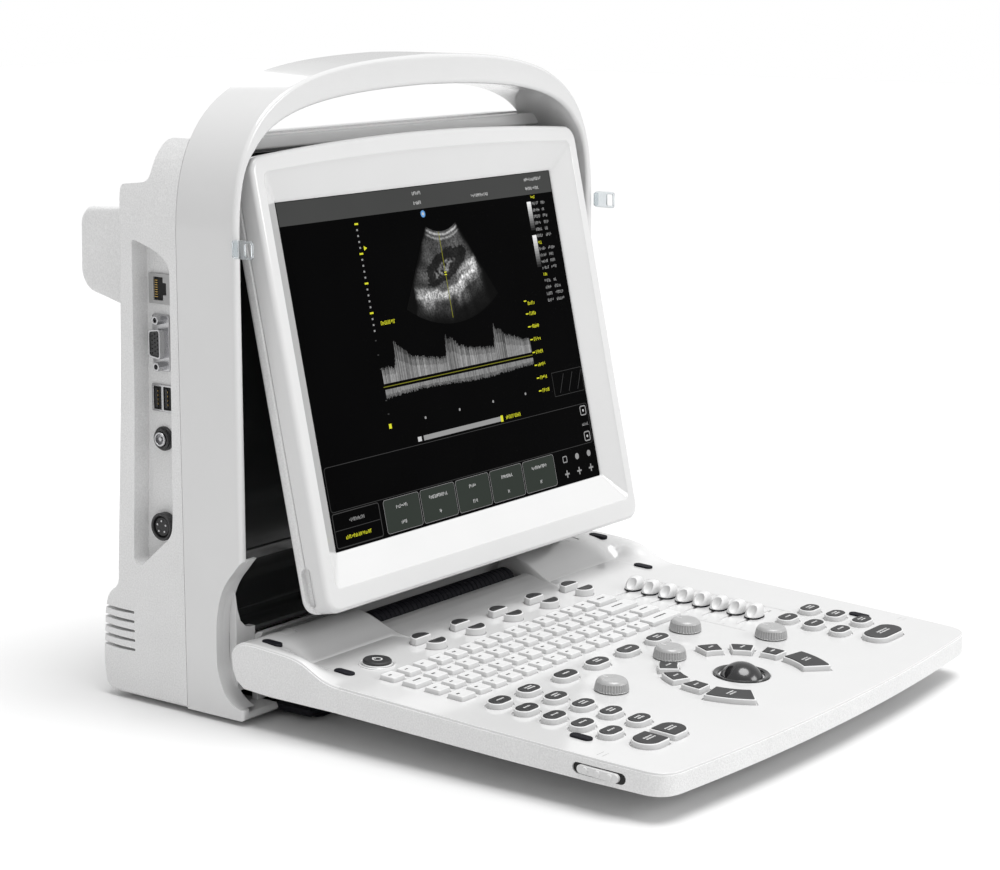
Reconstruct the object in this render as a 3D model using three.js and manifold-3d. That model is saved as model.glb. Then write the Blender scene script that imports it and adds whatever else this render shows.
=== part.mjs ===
// Portable ultrasound scanner: an upright body with an arched carrying handle, a monitor that swings
// out from its top edge, and a control panel that folds up over the monitor to close the case.
// Millimetres, +Z up, the control panel reaches towards -Y, and +X is the user's right.
import * as THREE from "three";
import { mergeVertices } from "three/addons/utils/BufferGeometryUtils.js";
import Module from "manifold-3d";

const wasm = await Module();
wasm.setup();

// ---------- driving dimensions ----------
const HALF_WIDTH = 161; // half the width of the body and of the control panel
const FRONT_Y = -36; // front edge of the front shell
const SEAM_Y = 5; // seam between front and rear shell
const DEPTH_SHIFT = 106; // puts the origin under the middle of the whole object
const BASE_Z = 3; // underside of the body, above the feet
const SHELF_Z = 300; // underside of the shelf above the monitor
const POST_WIDTH = 5.5; // the posts beside the monitor
const HANDLE_TOP_Z = 348;
const ARCH_START_Z = 255; // the sides are straight up to here
const WALL = 4; // shell wall
const GAP = 0.3; // clearance between neighbouring solids

const HINGE_Y = -40; // control panel hinge axis
const HINGE_Z = 35;
const PANEL_TILT = THREE.MathUtils.degToRad(2.47); // the open panel falls towards the user
const PANEL_TOP = 2; // top face of the panel, above the hinge axis
const PLATE = 2.5; // thickness of the panel's top cover
const PANEL_CORNER_Y = -259; // front edge of the panel at its corners
const PANEL_FRONT_Y = -268; // and at its middle
const SHOULDER_X = 147.5; // the raised shoulders begin here
const CHEEK = 2.5; // thickness of a shoulder's inner wall
const GROOVE_X = 126; // a groove for the hinge knuckle lies inside each shoulder
const GROOVE_WIDTH = 11;

const MONITOR_TILT = THREE.MathUtils.degToRad(12.1);
const MONITOR_CENTRE = new THREE.Vector3(0, -49.8, 183.7);
const MONITOR_HALF_WIDTH = 145;
const MONITOR_BOTTOM = -123;
const MONITOR_TOP = 118; // at the corners; the top edge is crowned
const MONITOR_CROWN = 5;
const BEZEL_FRONT = -8;
const BEZEL_BACK = 4;
const COVER_RIM = 12;
const COVER_BACK = 24;
const SCREEN_HALF_WIDTH = 123;
const SCREEN_HALF_HEIGHT = 93;
const PIVOT_Y = -8; // monitor pivot
const PIVOT_Z = 290;

// ---------- materials ----------
function plastic(color, roughness, metalness = 0) {
  return new THREE.MeshStandardMaterial({ color, roughness, metalness });
}
const glossWhite = plastic(0xe9ebec, 0.22);
const mattGrey = plastic(0xd4d5d5, 0.6);
const glossBlack = plastic(0x141515, 0.15);
const capDark = plastic(0x2b2b2c, 0.45);
const knobGrey = plastic(0x97999a, 0.4);
const keyWhite = plastic(0xe4e5e5, 0.45);
const rubberBlack = plastic(0x1b1c1f, 0.8);
const clearPlastic = plastic(0xc9d2d6, 0.1);
const steel = plastic(0xa9abad, 0.3, 1);
const boardGreen = plastic(0x1f5a3a, 0.6);
const batteryBlue = plastic(0x2f3f58, 0.5);

// ---------- geometry helpers ----------
function toSolid(geometry) {
  const bare = geometry.index ? geometry.toNonIndexed() : geometry.clone();
  bare.deleteAttribute("normal");
  bare.deleteAttribute("uv");
  const merged = mergeVertices(bare, 1e-4);
  return new wasm.Manifold(
    new wasm.Mesh({
      numProp: 3,
      vertProperties: merged.attributes.position.array,
      triVerts: new Uint32Array(merged.index.array),
    }),
  );
}

function toGeometry(solid) {
  const mesh = solid.getMesh();
  const geometry = new THREE.BufferGeometry();
  geometry.setAttribute("position", new THREE.BufferAttribute(mesh.vertProperties, 3));
  geometry.setIndex(new THREE.BufferAttribute(mesh.triVerts, 1));
  return geometry;
}

function join(...solids) {
  return solids.reduce((sum, next) => sum.add(next));
}

function cut(solid, ...tools) {
  return tools.reduce((rest, tool) => rest.subtract(tool), solid);
}

function outline(points) {
  return new THREE.Shape(points.map(([a, b]) => new THREE.Vector2(a, b)));
}

// An outline in X and Y, raised from z0 to z1.
function extrudeZ(shape, z0, z1, segments = 8) {
  const settings = { depth: z1 - z0, bevelEnabled: false, curveSegments: segments };
  return toSolid(new THREE.ExtrudeGeometry(shape, settings).translate(0, 0, z0));
}

// An outline in Y and Z, drawn out from x0 to x1.
function extrudeX(shape, x0, x1, segments = 8) {
  const settings = { depth: x1 - x0, bevelEnabled: false, curveSegments: segments };
  const geometry = new THREE.ExtrudeGeometry(shape, settings);
  const basis = new THREE.Matrix4().set(0, 0, 1, x0, 1, 0, 0, 0, 0, 1, 0, 0, 0, 0, 0, 1);
  return toSolid(geometry.applyMatrix4(basis));
}

// An outline in X and Z, drawn out from y0 to y1.
function extrudeY(shape, y0, y1, segments = 8) {
  const settings = { depth: y1 - y0, bevelEnabled: false, curveSegments: segments };
  const geometry = new THREE.ExtrudeGeometry(shape, settings);
  const basis = new THREE.Matrix4().set(1, 0, 0, 0, 0, 0, -1, y1, 0, 1, 0, 0, 0, 0, 0, 1);
  return toSolid(geometry.applyMatrix4(basis));
}

function box(x0, x1, y0, y1, z0, z1) {
  const geometry = new THREE.BoxGeometry(x1 - x0, y1 - y0, z1 - z0);
  return toSolid(geometry.translate((x0 + x1) / 2, (y0 + y1) / 2, (z0 + z1) / 2));
}

function rodX(radius, x0, x1, y, z, segments = 16) {
  const geometry = new THREE.CylinderGeometry(radius, radius, x1 - x0, segments);
  return toSolid(geometry.rotateZ(Math.PI / 2).translate((x0 + x1) / 2, y, z));
}

function discZ(bottomRadius, topRadius, x, y, z0, z1, segments = 24) {
  const geometry = new THREE.CylinderGeometry(topRadius, bottomRadius, z1 - z0, segments);
  return toSolid(geometry.rotateX(Math.PI / 2).translate(x, y, (z0 + z1) / 2));
}

// A solid between two rectangles, one at y0 and one at y1, each [half width, bottom, top].
function taper(y0, [w0, b0, t0], y1, [w1, b1, t1]) {
  const geometry = new THREE.BoxGeometry(2, 2, 2);
  const position = geometry.attributes.position;
  for (let i = 0; i < position.count; i++) {
    const far = position.getY(i) > 0;
    const width = far ? w1 : w0;
    const bottom = far ? b1 : b0;
    const top = far ? t1 : t0;
    position.setXYZ(i, position.getX(i) * width, far ? y1 : y0, position.getZ(i) > 0 ? top : bottom);
  }
  return toSolid(geometry);
}

// A rectangle with rounded corners, centred on x, y.
function roundedRectangle(x, y, width, depth, radius) {
  const shape = new THREE.Shape();
  const left = x - width / 2;
  const right = x + width / 2;
  const low = y - depth / 2;
  const high = y + depth / 2;
  shape.moveTo(left + radius, low);
  shape.lineTo(right - radius, low);
  shape.absarc(right - radius, low + radius, radius, -Math.PI / 2, 0, false);
  shape.lineTo(right, high - radius);
  shape.absarc(right - radius, high - radius, radius, 0, Math.PI / 2, false);
  shape.lineTo(left + radius, high);
  shape.absarc(left + radius, high - radius, radius, Math.PI / 2, Math.PI, false);
  shape.lineTo(left, low + radius);
  shape.absarc(left + radius, low + radius, radius, Math.PI, Math.PI * 1.5, false);
  return shape;
}

const machine = new THREE.Group();
machine.position.y = DEPTH_SHIFT;
const monitorGroup = new THREE.Group();
monitorGroup.position.copy(MONITOR_CENTRE);
monitorGroup.rotation.x = -MONITOR_TILT;
const panelGroup = new THREE.Group();
panelGroup.position.set(0, HINGE_Y, HINGE_Z);
panelGroup.rotation.x = PANEL_TILT;
machine.add(monitorGroup, panelGroup);

function piece(parent, name, solid, material) {
  const mesh = new THREE.Mesh(toGeometry(solid), material);
  mesh.name = name;
  parent.add(mesh);
}

// ---------- body ----------
// The outer outline of the body seen from the front, drawn in by inset.
function archOutline(inset) {
  const side = HALF_WIDTH - inset;
  const top = HANDLE_TOP_Z - inset;
  const shape = new THREE.Shape();
  shape.moveTo(-side, BASE_Z + inset);
  shape.lineTo(side, BASE_Z + inset);
  shape.lineTo(side, ARCH_START_Z);
  shape.bezierCurveTo(side, top - 13, 112, top - 2, 0, top);
  shape.bezierCurveTo(-112, top - 2, -side, top - 13, -side, ARCH_START_Z);
  return shape;
}

// The bay for the monitor and the finger opening under the handle, seen from the front.
function bayOutline() {
  const shape = new THREE.Shape();
  const side = HALF_WIDTH - POST_WIDTH;
  shape.moveTo(-side, BASE_Z + WALL);
  shape.lineTo(side, BASE_Z + WALL);
  shape.lineTo(side, ARCH_START_Z);
  shape.bezierCurveTo(side, 284, 151, 296, 143, SHELF_Z + 3);
  shape.bezierCurveTo(128, 321, 96, 330, 0, 331);
  shape.bezierCurveTo(-96, 330, -128, 321, -143, SHELF_Z + 3);
  shape.bezierCurveTo(-151, 296, -side, 284, -side, ARCH_START_Z);
  return shape;
}

// The side walls are cut away round the hinge, so that the panel's shoulders can swing in.
const shoulderCutout = outline([
  [-45, 96], [-34, 90], [-25, 80], [-20, 68], [-17, 52], [-17, 30], [-20, 21], [-26, 13], [-34, 9], [-45, 9],
]);

// The cross wall behind the hinge, its front hollowed round the hinge axis.
const sillOutline = outline([
  [-31, 51], [-27.5, 46], [-24.3, 40], [-23.4, 33], [-23.4, 6], [-19.4, 6], [-19.4, 33], [-20.5, 41],
  [-23, 46.5], [-24, 51],
]);

function makeFrontShell() {
  const ring = cut(
    extrudeY(archOutline(0), FRONT_Y, SEAM_Y, 12),
    extrudeY(bayOutline(), FRONT_Y - 1, SEAM_Y + 1, 10),
    extrudeX(shoulderCutout, -HALF_WIDTH - 1, HALF_WIDTH + 1),
  );
  const shelf = box(-146, 146, -6, SEAM_Y, SHELF_Z, SHELF_Z + 7);
  const sill = extrudeX(sillOutline, -SHOULDER_X + 1.5, SHOULDER_X - 1.5);
  const base = box(-134, 134, -60, SEAM_Y, BASE_Z, BASE_Z + WALL);
  const shell = [ring, shelf, sill, base];
  for (const side of [-1, 1]) {
    const inner = side * SHOULDER_X;
    const outer = side * (HALF_WIDTH - 4);
    const low = Math.min(inner, outer);
    const high = Math.max(inner, outer);
    shell.push(box(low, high, -21, -16, 5, 96));
    const knuckleIn = side * (GROOVE_X + 1);
    const knuckleOut = side * (GROOVE_X + GROOVE_WIDTH - 1);
    const x0 = Math.min(knuckleIn, knuckleOut);
    const x1 = Math.max(knuckleIn, knuckleOut);
    shell.push(rodX(7, x0, x1, HINGE_Y, HINGE_Z), box(x0, x1, HINGE_Y, -21, HINGE_Z - 5, HINGE_Z + 5));
  }
  const pivotHoles = rodX(2.8, -153.5, 153.5, PIVOT_Y, PIVOT_Z);
  return cut(join(...shell), rodX(2.8, -150.5, 150.5, HINGE_Y, HINGE_Z), pivotHoles);
}
piece(machine, "front_shell", makeFrontShell(), glossWhite);

// The rear shell seen from the side: thin at the top, stepped, and deepest at the foot.
function rearOutline(inset) {
  return outline([
    [SEAM_Y + GAP - inset * 2, BASE_Z + inset],
    [62 - inset, BASE_Z + inset],
    [67 - inset, BASE_Z + 3 + inset],
    [69 - inset, 19],
    [66.5 - inset, 50],
    [64 - inset, 58.5],
    [56 - inset, 64 - inset],
    [55.5 - inset, 78],
    [50 - inset, 167],
    [47 - inset, 259],
    [47 - inset, 283 - inset],
    [27 - inset, 285 - inset],
    [25 - inset, 299 - inset],
    [22 - inset, 306 - inset],
    [18 - inset, 308 - inset],
    [SEAM_Y + GAP - inset * 2, 308 - inset],
  ]);
}

// The mouth of the socket recess on the left side.
function recessOutline(inset) {
  const shape = new THREE.Shape();
  shape.moveTo(42.5 - inset, 79 + inset);
  shape.lineTo(38.5 - inset, 168);
  shape.lineTo(37.5 - inset, 255 - inset);
  shape.lineTo(20 + inset * 0.5, 249.5 - inset);
  shape.quadraticCurveTo(10.5 + inset, 243 - inset, 10.5 + inset, 228);
  shape.lineTo(12.5 + inset, 108);
  shape.quadraticCurveTo(13.5 + inset, 97, 26 + inset, 86.5);
  shape.lineTo(37, 77 + inset);
  return shape;
}

const RECESS_DEPTH = 11;
const VENT_COUNT = 5;

function makeRearShell() {
  const outer = extrudeX(rearOutline(0), -HALF_WIDTH, HALF_WIDTH);
  const inner = extrudeX(rearOutline(3.5), -HALF_WIDTH + 3.5, HALF_WIDTH - 3.5);
  const arch = extrudeY(archOutline(0), SEAM_Y, 100, 12);
  const innerArch = extrudeY(archOutline(3.5), SEAM_Y - 5, 100, 12);
  let shell = outer.intersect(arch).subtract(inner.intersect(innerArch));
  const mouth = recessOutline(0);
  shell = cut(shell, extrudeX(mouth, -HALF_WIDTH - 2, -HALF_WIDTH + 5, 5));
  for (let i = 0; i < VENT_COUNT; i++) {
    const z = 27 + i * 5.3;
    shell = cut(shell, box(-HALF_WIDTH - 2, -HALF_WIDTH + 5, 44, 63, z, z + 1.6));
  }
  return shell;
}
piece(machine, "rear_shell", makeRearShell(), mattGrey);

// Dark panel that lines the bay behind the monitor.
const cavityOutline = outline([
  [-21.8, 48], [-2, 48], [11, 66], [13, 95], [13, 298], [16, 298], [16, 94], [14, 64.5], [-0.6, 45],
  [-21.8, 45],
]);
const cavityWidth = HALF_WIDTH - POST_WIDTH - GAP;
const cavityPanel = extrudeX(cavityOutline, -cavityWidth, cavityWidth)
  .intersect(extrudeY(archOutline(POST_WIDTH + 2 * GAP), -30, 30, 12))
  .subtract(box(-HALF_WIDTH, -147, 6, 18, 72, 260))
  .subtract(box(-HALF_WIDTH, -SHOULDER_X + GAP, -30, -15.7, 40, 50))
  .subtract(box(SHOULDER_X - GAP, HALF_WIDTH, -30, -15.7, 40, 50));
piece(machine, "cavity_panel", cavityPanel, glossBlack);

const FLOOR_X = -HALF_WIDTH + RECESS_DEPTH; // floor of the socket recess
function makePortPlate() {
  const tray = extrudeX(recessOutline(GAP), -HALF_WIDTH + 0.5, FLOOR_X + 2.5, 5);
  return cut(tray, extrudeX(recessOutline(2), -HALF_WIDTH - 1, FLOOR_X, 5));
}
piece(machine, "port_plate", makePortPlate(), mattGrey);

// Sockets stand on the floor of the recess and face the left side.
const SOCKET_BACK = FLOOR_X - GAP;
function socketBlock(y, z, depth, height, rise) {
  return box(SOCKET_BACK - rise, SOCKET_BACK, y - depth / 2, y + depth / 2, z - height / 2, z + height / 2);
}
function socketRing(y, z, radius, rise, segments = 16) {
  return rodX(radius, SOCKET_BACK - rise, SOCKET_BACK, y, z, segments);
}
const SOCKET_Y = 27.5;

const networkSocket = cut(
  socketBlock(SOCKET_Y, 228, 16, 17, 8),
  box(SOCKET_BACK - 9, SOCKET_BACK - 1, SOCKET_Y - 6, SOCKET_Y + 6, 222, 231),
);
piece(machine, "network_socket", networkSocket, steel);

function makeVideoSocket() {
  const flange = socketBlock(SOCKET_Y, 199, 12.5, 30.8, 1);
  const shell = extrudeX(roundedRectangle(SOCKET_Y, 199, 8.4, 16.9, 2.5), SOCKET_BACK - 6.5, SOCKET_BACK - 0.5, 4);
  const screws = [-12.5, 12.5].map((z) => socketRing(SOCKET_Y, 199 + z, 2.6, 5.5, 6));
  return join(flange, shell, ...screws);
}
piece(machine, "video_socket", makeVideoSocket(), steel);

const usbMouths = [-3.9, 3.9].map((z) =>
  box(SOCKET_BACK - 9, SOCKET_BACK - 1, SOCKET_Y - 6.2, SOCKET_Y + 6.2, 168 + z - 2.6, 168 + z + 2.6),
);
piece(machine, "usb_socket", cut(socketBlock(SOCKET_Y, 168, 15, 16.4, 8), ...usbMouths), steel);

const roundSocket = join(socketRing(SOCKET_Y, 146, 7, 1.5), socketRing(SOCKET_Y, 146, 4.6, 8));
piece(machine, "round_socket", roundSocket, steel);

const footSwitchSocket = cut(socketRing(SOCKET_Y, 99, 7.6, 5), socketRing(SOCKET_Y, 99, 5.6, 5.5).translate(-1.5, 0, 0));
piece(machine, "foot_switch_socket", footSwitchSocket, capDark);

// Housing on the back with a sloping underside.
const housingOutline = outline([[47.7, 270], [86, 268.5], [92, 262], [93, 230], [88, 222], [49.3, 212]]);
piece(machine, "rear_housing", extrudeX(housingOutline, -146, -58), mattGrey);

const footOutline = (y) => roundedRectangle(0, y, 250, 14, 5);
piece(machine, "front_foot", extrudeZ(footOutline(-50), 0, BASE_Z - GAP, 4), rubberBlack);
piece(machine, "rear_foot", extrudeZ(footOutline(52), 0, BASE_Z - GAP, 4), rubberBlack);

const boardChips = join(
  box(-60, -20, 25.4, 28, 130, 170),
  box(10, 60, 25.4, 28, 120, 180),
  box(-110, -80, 25.4, 28, 200, 230),
);
piece(machine, "main_board", join(box(-138, 120, 24, 25.6, 78, 262), boardChips), boardGreen);
piece(machine, "power_supply", box(-60, 130, 20, 60, 10, 54), steel);
piece(machine, "battery_pack", box(-50, 110, 30, 44, 84, 200), batteryBlue);

// Cooling fan behind the side vents.
const FAN = { x: -142, y: 39, z: 36, size: 42, depth: 10 };
function makeFanFrame() {
  const half = FAN.size / 2;
  const frame = box(FAN.x, FAN.x + FAN.depth, FAN.y - half, FAN.y + half, FAN.z - half, FAN.z + half);
  const bore = rodX(19.5, FAN.x - 1, FAN.x + FAN.depth + 1, FAN.y, FAN.z, 20);
  const strut = box(FAN.x + 8.5, FAN.x + FAN.depth, FAN.y - 1.5, FAN.y + 1.5, FAN.z - half, FAN.z + half);
  return join(cut(frame, bore), strut);
}
function makeFanRotor() {
  const blades = [];
  for (let i = 0; i < 7; i++) {
    const blade = new THREE.BoxGeometry(5, 1.2, 12);
    blade.rotateZ(0.6);
    blade.translate(0, 0, 12);
    blade.rotateX((i * Math.PI * 2) / 7);
    blade.translate(FAN.x + 4.2, FAN.y, FAN.z);
    blades.push(toSolid(blade));
  }
  return join(rodX(8, FAN.x + 0.8, FAN.x + 7.8, FAN.y, FAN.z, 16), ...blades);
}
piece(machine, "fan_frame", makeFanFrame(), glossBlack);
piece(machine, "fan_rotor", makeFanRotor(), glossBlack);

// Clear loops on the posts, which catch the latch sliders of the closed panel.
const LATCH_REACH = 222.5; // from the hinge axis to the latch slider
const RING_Z = 254.5;
for (const [name, side] of [["latch_ring_left", -1], ["latch_ring_right", 1]]) {
  const face = side > 0 ? HALF_WIDTH + 1 : -HALF_WIDTH - 2.6;
  const foot = side > 0 ? HALF_WIDTH + GAP : -HALF_WIDTH - 1.2;
  const loop = cut(
    extrudeX(roundedRectangle(-40, RING_Z, 22, 10, 3), face, face + 1.6, 3),
    extrudeX(roundedRectangle(-44.5, RING_Z, 9, 6.6, 1.6), face - 1, face + 2.6, 3),
  );
  const base = box(foot, foot + 0.9, -35, -30, RING_Z - 4, RING_Z + 4);
  piece(machine, name, join(loop, base), clearPlastic);
}

piece(machine, "keyboard_hinge_rod", rodX(2.4, -150, 150, HINGE_Y, HINGE_Z, 12), steel);
piece(machine, "monitor_pivot_rod", rodX(2.4, -153, 153, PIVOT_Y, PIVOT_Z, 12), steel);

// ---------- monitor, in its own tilted frame: X across, Z up the screen, -Y out of the screen ----------
function monitorOutline(inset) {
  const side = MONITOR_HALF_WIDTH - inset;
  const top = MONITOR_TOP - inset;
  const bottom = MONITOR_BOTTOM + inset;
  const radius = 12 - inset * 0.7;
  const shape = new THREE.Shape();
  shape.moveTo(-side + radius, bottom);
  shape.lineTo(side - radius, bottom);
  shape.absarc(side - radius, bottom + radius, radius, -Math.PI / 2, 0, false);
  shape.lineTo(side, top - radius);
  shape.quadraticCurveTo(side, top, side - radius, top);
  shape.quadraticCurveTo(0, top + MONITOR_CROWN * 2, -side + radius, top);
  shape.quadraticCurveTo(-side, top, -side, top - radius);
  shape.lineTo(-side, bottom + radius);
  shape.absarc(-side + radius, bottom + radius, radius, Math.PI, Math.PI * 1.5, false);
  return shape;
}

function makeBezel() {
  const front = extrudeY(monitorOutline(0), BEZEL_FRONT, BEZEL_BACK, 5);
  const funnel = taper(BEZEL_FRONT - 0.01, [136.5, -109.5, 108], 0, [
    SCREEN_HALF_WIDTH, -SCREEN_HALF_HEIGHT, SCREEN_HALF_HEIGHT,
  ]);
  const window = box(
    -SCREEN_HALF_WIDTH, SCREEN_HALF_WIDTH, -1, 3, -SCREEN_HALF_HEIGHT, SCREEN_HALF_HEIGHT,
  );
  const pocket = box(-139, 139, 1.5, BEZEL_BACK + 1, -116, 111);
  const grips = [-1, 1].map((side) =>
    box(side * MONITOR_HALF_WIDTH - 2.5, side * MONITOR_HALF_WIDTH + 2.5, -3, BEZEL_BACK + 1, -117, -97),
  );
  return cut(front, funnel, window, pocket, ...grips);
}
piece(monitorGroup, "monitor_bezel", makeBezel(), glossWhite);
piece(monitorGroup, "display_panel", box(-132, 132, 1.8, 8.5, -103, 103), glossBlack);

function makeRearCover() {
  const rim = extrudeY(monitorOutline(0), BEZEL_BACK + GAP, COVER_RIM, 5);
  const bulge = taper(COVER_RIM - 0.5, [122, -104, 74], COVER_BACK, [108, -88, 58]);
  const rimHollow = box(-141, 141, BEZEL_BACK - 1, COVER_RIM - 2.5, -118, 113);
  const bulgeHollow = taper(COVER_RIM - 3, [119, -101, 71], COVER_BACK - 2.5, [105, -85, 55]);
  return cut(join(rim, bulge), rimHollow, bulgeHollow);
}
piece(monitorGroup, "monitor_rear_cover", makeRearCover(), mattGrey);

// Arms that carry the monitor on its pivot rod.
const pivotLocal = new THREE.Vector3(0, PIVOT_Y, PIVOT_Z)
  .sub(MONITOR_CENTRE)
  .applyAxisAngle(new THREE.Vector3(1, 0, 0), MONITOR_TILT);
for (const [name, x] of [["monitor_hinge_arm_left", -112], ["monitor_hinge_arm_right", 112]]) {
  const eye = rodX(5, x - 7, x + 7, pivotLocal.y, pivotLocal.z);
  const foot = box(x - 7, x + 7, COVER_RIM + GAP, pivotLocal.y + 2, 86, pivotLocal.z);
  piece(monitorGroup, name, cut(join(eye, foot), rodX(2.7, x - 8, x + 8, pivotLocal.y, pivotLocal.z)), steel);
}

// ---------- control panel, in its own frame: origin on the hinge axis, top face at PANEL_TOP ----------
function panelPlan(inset) {
  const side = HALF_WIDTH - inset;
  const frontSide = side - 2.5;
  const corner = PANEL_CORNER_Y + inset;
  const radius = 14;
  const shape = new THREE.Shape();
  shape.moveTo(side, 20);
  shape.lineTo(-side, 20);
  shape.lineTo(-side, -150);
  shape.lineTo(-frontSide, corner + radius);
  shape.quadraticCurveTo(-frontSide, corner, -frontSide + radius, corner - 0.5);
  shape.quadraticCurveTo(0, PANEL_FRONT_Y + inset - 8.5, frontSide - radius, corner - 0.5);
  shape.quadraticCurveTo(frontSide, corner, frontSide, corner + radius);
  shape.lineTo(side, -150);
  return shape;
}

// Top line of the panel seen from the side, from the rear edge forwards, lowered by drop.
function shoulderTop(drop) {
  return [
    [13 - drop, 0], [13 - drop, 4.4], [9 - drop * 0.7, 8.8 - drop * 0.7], [2, 12 - drop], [-15, 11.7 - drop],
    [-29, 11.2 - drop], [-36, 10 - drop], [-44, 6.4 - drop], [-50, 3.8 - drop], [-57, PANEL_TOP - drop],
  ];
}
function humpTop(drop) {
  return [
    [12.5 - drop, 0], [11.4 - drop, 5], [8.8 - drop * 0.7, 8.8 - drop * 0.7], [4.5 - drop * 0.3, 11.5 - drop],
    [0, 12.4 - drop], [-8, 11.2 - drop], [-16, 8 - drop], [-22, 4.6 - drop], [-28, PANEL_TOP - drop],
  ];
}
function panelSkin(topLine) {
  const front = [PANEL_FRONT_Y - 10, PANEL_TOP];
  const under = [PANEL_FRONT_Y - 10, PANEL_TOP - PLATE];
  return outline([...topLine(0), front, under, ...topLine(PLATE).reverse()]);
}
function panelBelly(topLine) {
  return outline([
    ...topLine(PLATE + 3 * GAP),
    [PANEL_FRONT_Y - 10, PANEL_TOP - PLATE - 3 * GAP],
    [PANEL_FRONT_Y - 10, -9.2],
    [-153, -11.4],
    [-56, -12.6],
    [-15, -14.2],
    [3, -13.8],
    [8, -10],
    [12, -4],
  ]);
}
const panelHollow = outline([
  [PANEL_FRONT_Y - 10, 20],
  [PANEL_FRONT_Y - 10, -7],
  [-153, -9.2],
  [-56, -10.4],
  [-15, -11.8],
  [2, -11.6],
  [6, -8.6],
  [9, -4],
  [6.5, 1],
  [6, 20],
]);

const grooves = [-1, 1].map((side) => {
  const x0 = Math.min(side * GROOVE_X, side * (GROOVE_X + GROOVE_WIDTH));
  const x1 = Math.max(side * GROOVE_X, side * (GROOVE_X + GROOVE_WIDTH));
  return box(x0, x1, -9, 20, -20, 20);
});

function acrossPanel(hump, shoulder) {
  return join(
    extrudeX(hump, -SHOULDER_X, SHOULDER_X),
    extrudeX(shoulder, -HALF_WIDTH, -SHOULDER_X + 1),
    extrudeX(shoulder, SHOULDER_X - 1, HALF_WIDTH),
  );
}

// Key and control positions, in the panel's frame (Y is measured forwards from the hinge axis).
const OVAL_ROWS = [-139.7, -156.6, -173.5, -190.4, -207.3];
const OVAL_COLUMNS = [-127.5, -102.5];
const RIGHT_OVAL_COLUMNS = [101.5, 126.5];
const UPPER_OVALS = [-70, -40.8, -11.6, 17.6];
const OVAL = [17, 11.6];
const WIDE_OVAL = [18.8, 11.6];
const LARGE_ROW = -227.5;
const TRACKBALL = { x: 0, y: -204.5, radius: 12.5 };
const BALL_Z = PANEL_TOP + 6.5 - TRACKBALL.radius; // height of the ball's centre
const KNOBS = [[-69.5, -168.5], [-2, -160.5], [46.5, -139.5], [68.5, -182]];
const SLIDER_X = 96;
const SLIDER_ROWS = Array.from({ length: 8 }, (_, i) => -72.5 - i * 11.75);
const SOFT_KEYS = Array.from({ length: 5 }, (_, i) => -73 + i * 35);
const POWER_KEY = [-118.5, -52.5];
const KEY_PITCH = 13.4;
const KEY_ROWS = [-73.6, -88.4, -103.2, -118];
const KEY_SIZE = [9.8, 9.8];
const KEY_LEFT = -136.5;
const KEY_RIGHT = 68.5;

function stadium(x, y, width, depth) {
  return roundedRectangle(x, y, width, depth, Math.min(width, depth) / 2 - 0.01);
}

// One side of a split oval: round on its outer end, square on the inner one.
function halfStadium(x, y, width, depth, side) {
  const shape = new THREE.Shape();
  const radius = depth / 2;
  const inner = x - (side * width) / 2;
  const centre = x + side * (width / 2 - radius);
  shape.moveTo(inner, y - side * radius);
  shape.absarc(centre, y, radius, side > 0 ? -Math.PI / 2 : Math.PI / 2, side > 0 ? Math.PI / 2 : Math.PI * 1.5, false);
  shape.lineTo(inner, y + side * radius);
  return shape;
}

// A key bounded by two arcs about the trackball and by two radial ends.
function arcKey(from, to, inner, outer) {
  const a = THREE.MathUtils.degToRad(from);
  const b = THREE.MathUtils.degToRad(to);
  const shape = new THREE.Shape();
  shape.absarc(TRACKBALL.x, TRACKBALL.y, outer, a, b, false);
  shape.absarc(TRACKBALL.x, TRACKBALL.y, inner, b, a, true);
  return shape;
}

// A leaf-shaped soft key: a shallow dome above or below a straight edge.
function leafKey(x, y, up, grow) {
  const half = 7 + grow;
  const shape = new THREE.Shape();
  const edge = y - up * (3.6 + grow);
  const tip = y + up * (3.6 + grow);
  const points = [];
  for (let i = 0; i <= 8; i++) {
    const t = (Math.PI * i) / 8;
    points.push([x + half * Math.cos(t), edge + (tip - edge) * Math.sin(t)]);
  }
  if (up < 0) points.reverse();
  points.forEach(([px, py], i) => (i ? shape.lineTo(px, py) : shape.moveTo(px, py)));
  return shape;
}

// Every keyboard row as a list of [centre, width].
function keyRow(firstWidth, lastWidth) {
  const keys = [[KEY_LEFT + firstWidth / 2, firstWidth]];
  let left = KEY_LEFT + firstWidth + (KEY_PITCH - KEY_SIZE[0]);
  const end = KEY_RIGHT - lastWidth;
  while (left + KEY_SIZE[0] < end) {
    keys.push([left + KEY_SIZE[0] / 2, KEY_SIZE[0]]);
    left += KEY_PITCH;
  }
  keys.push([(left + KEY_RIGHT) / 2, KEY_RIGHT - left]);
  return keys;
}
const KEY_LAYOUT = [keyRow(9.8, 15), keyRow(13.6, 24), keyRow(9.8, 15), keyRow(11.8, 22)];

const CAP_TOP = PANEL_TOP + 3;
const MAT = [-3.4, -2.2]; // bottom and top of a key mat under the cover
const CLEAR = 0.5; // gap round each cap

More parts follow.
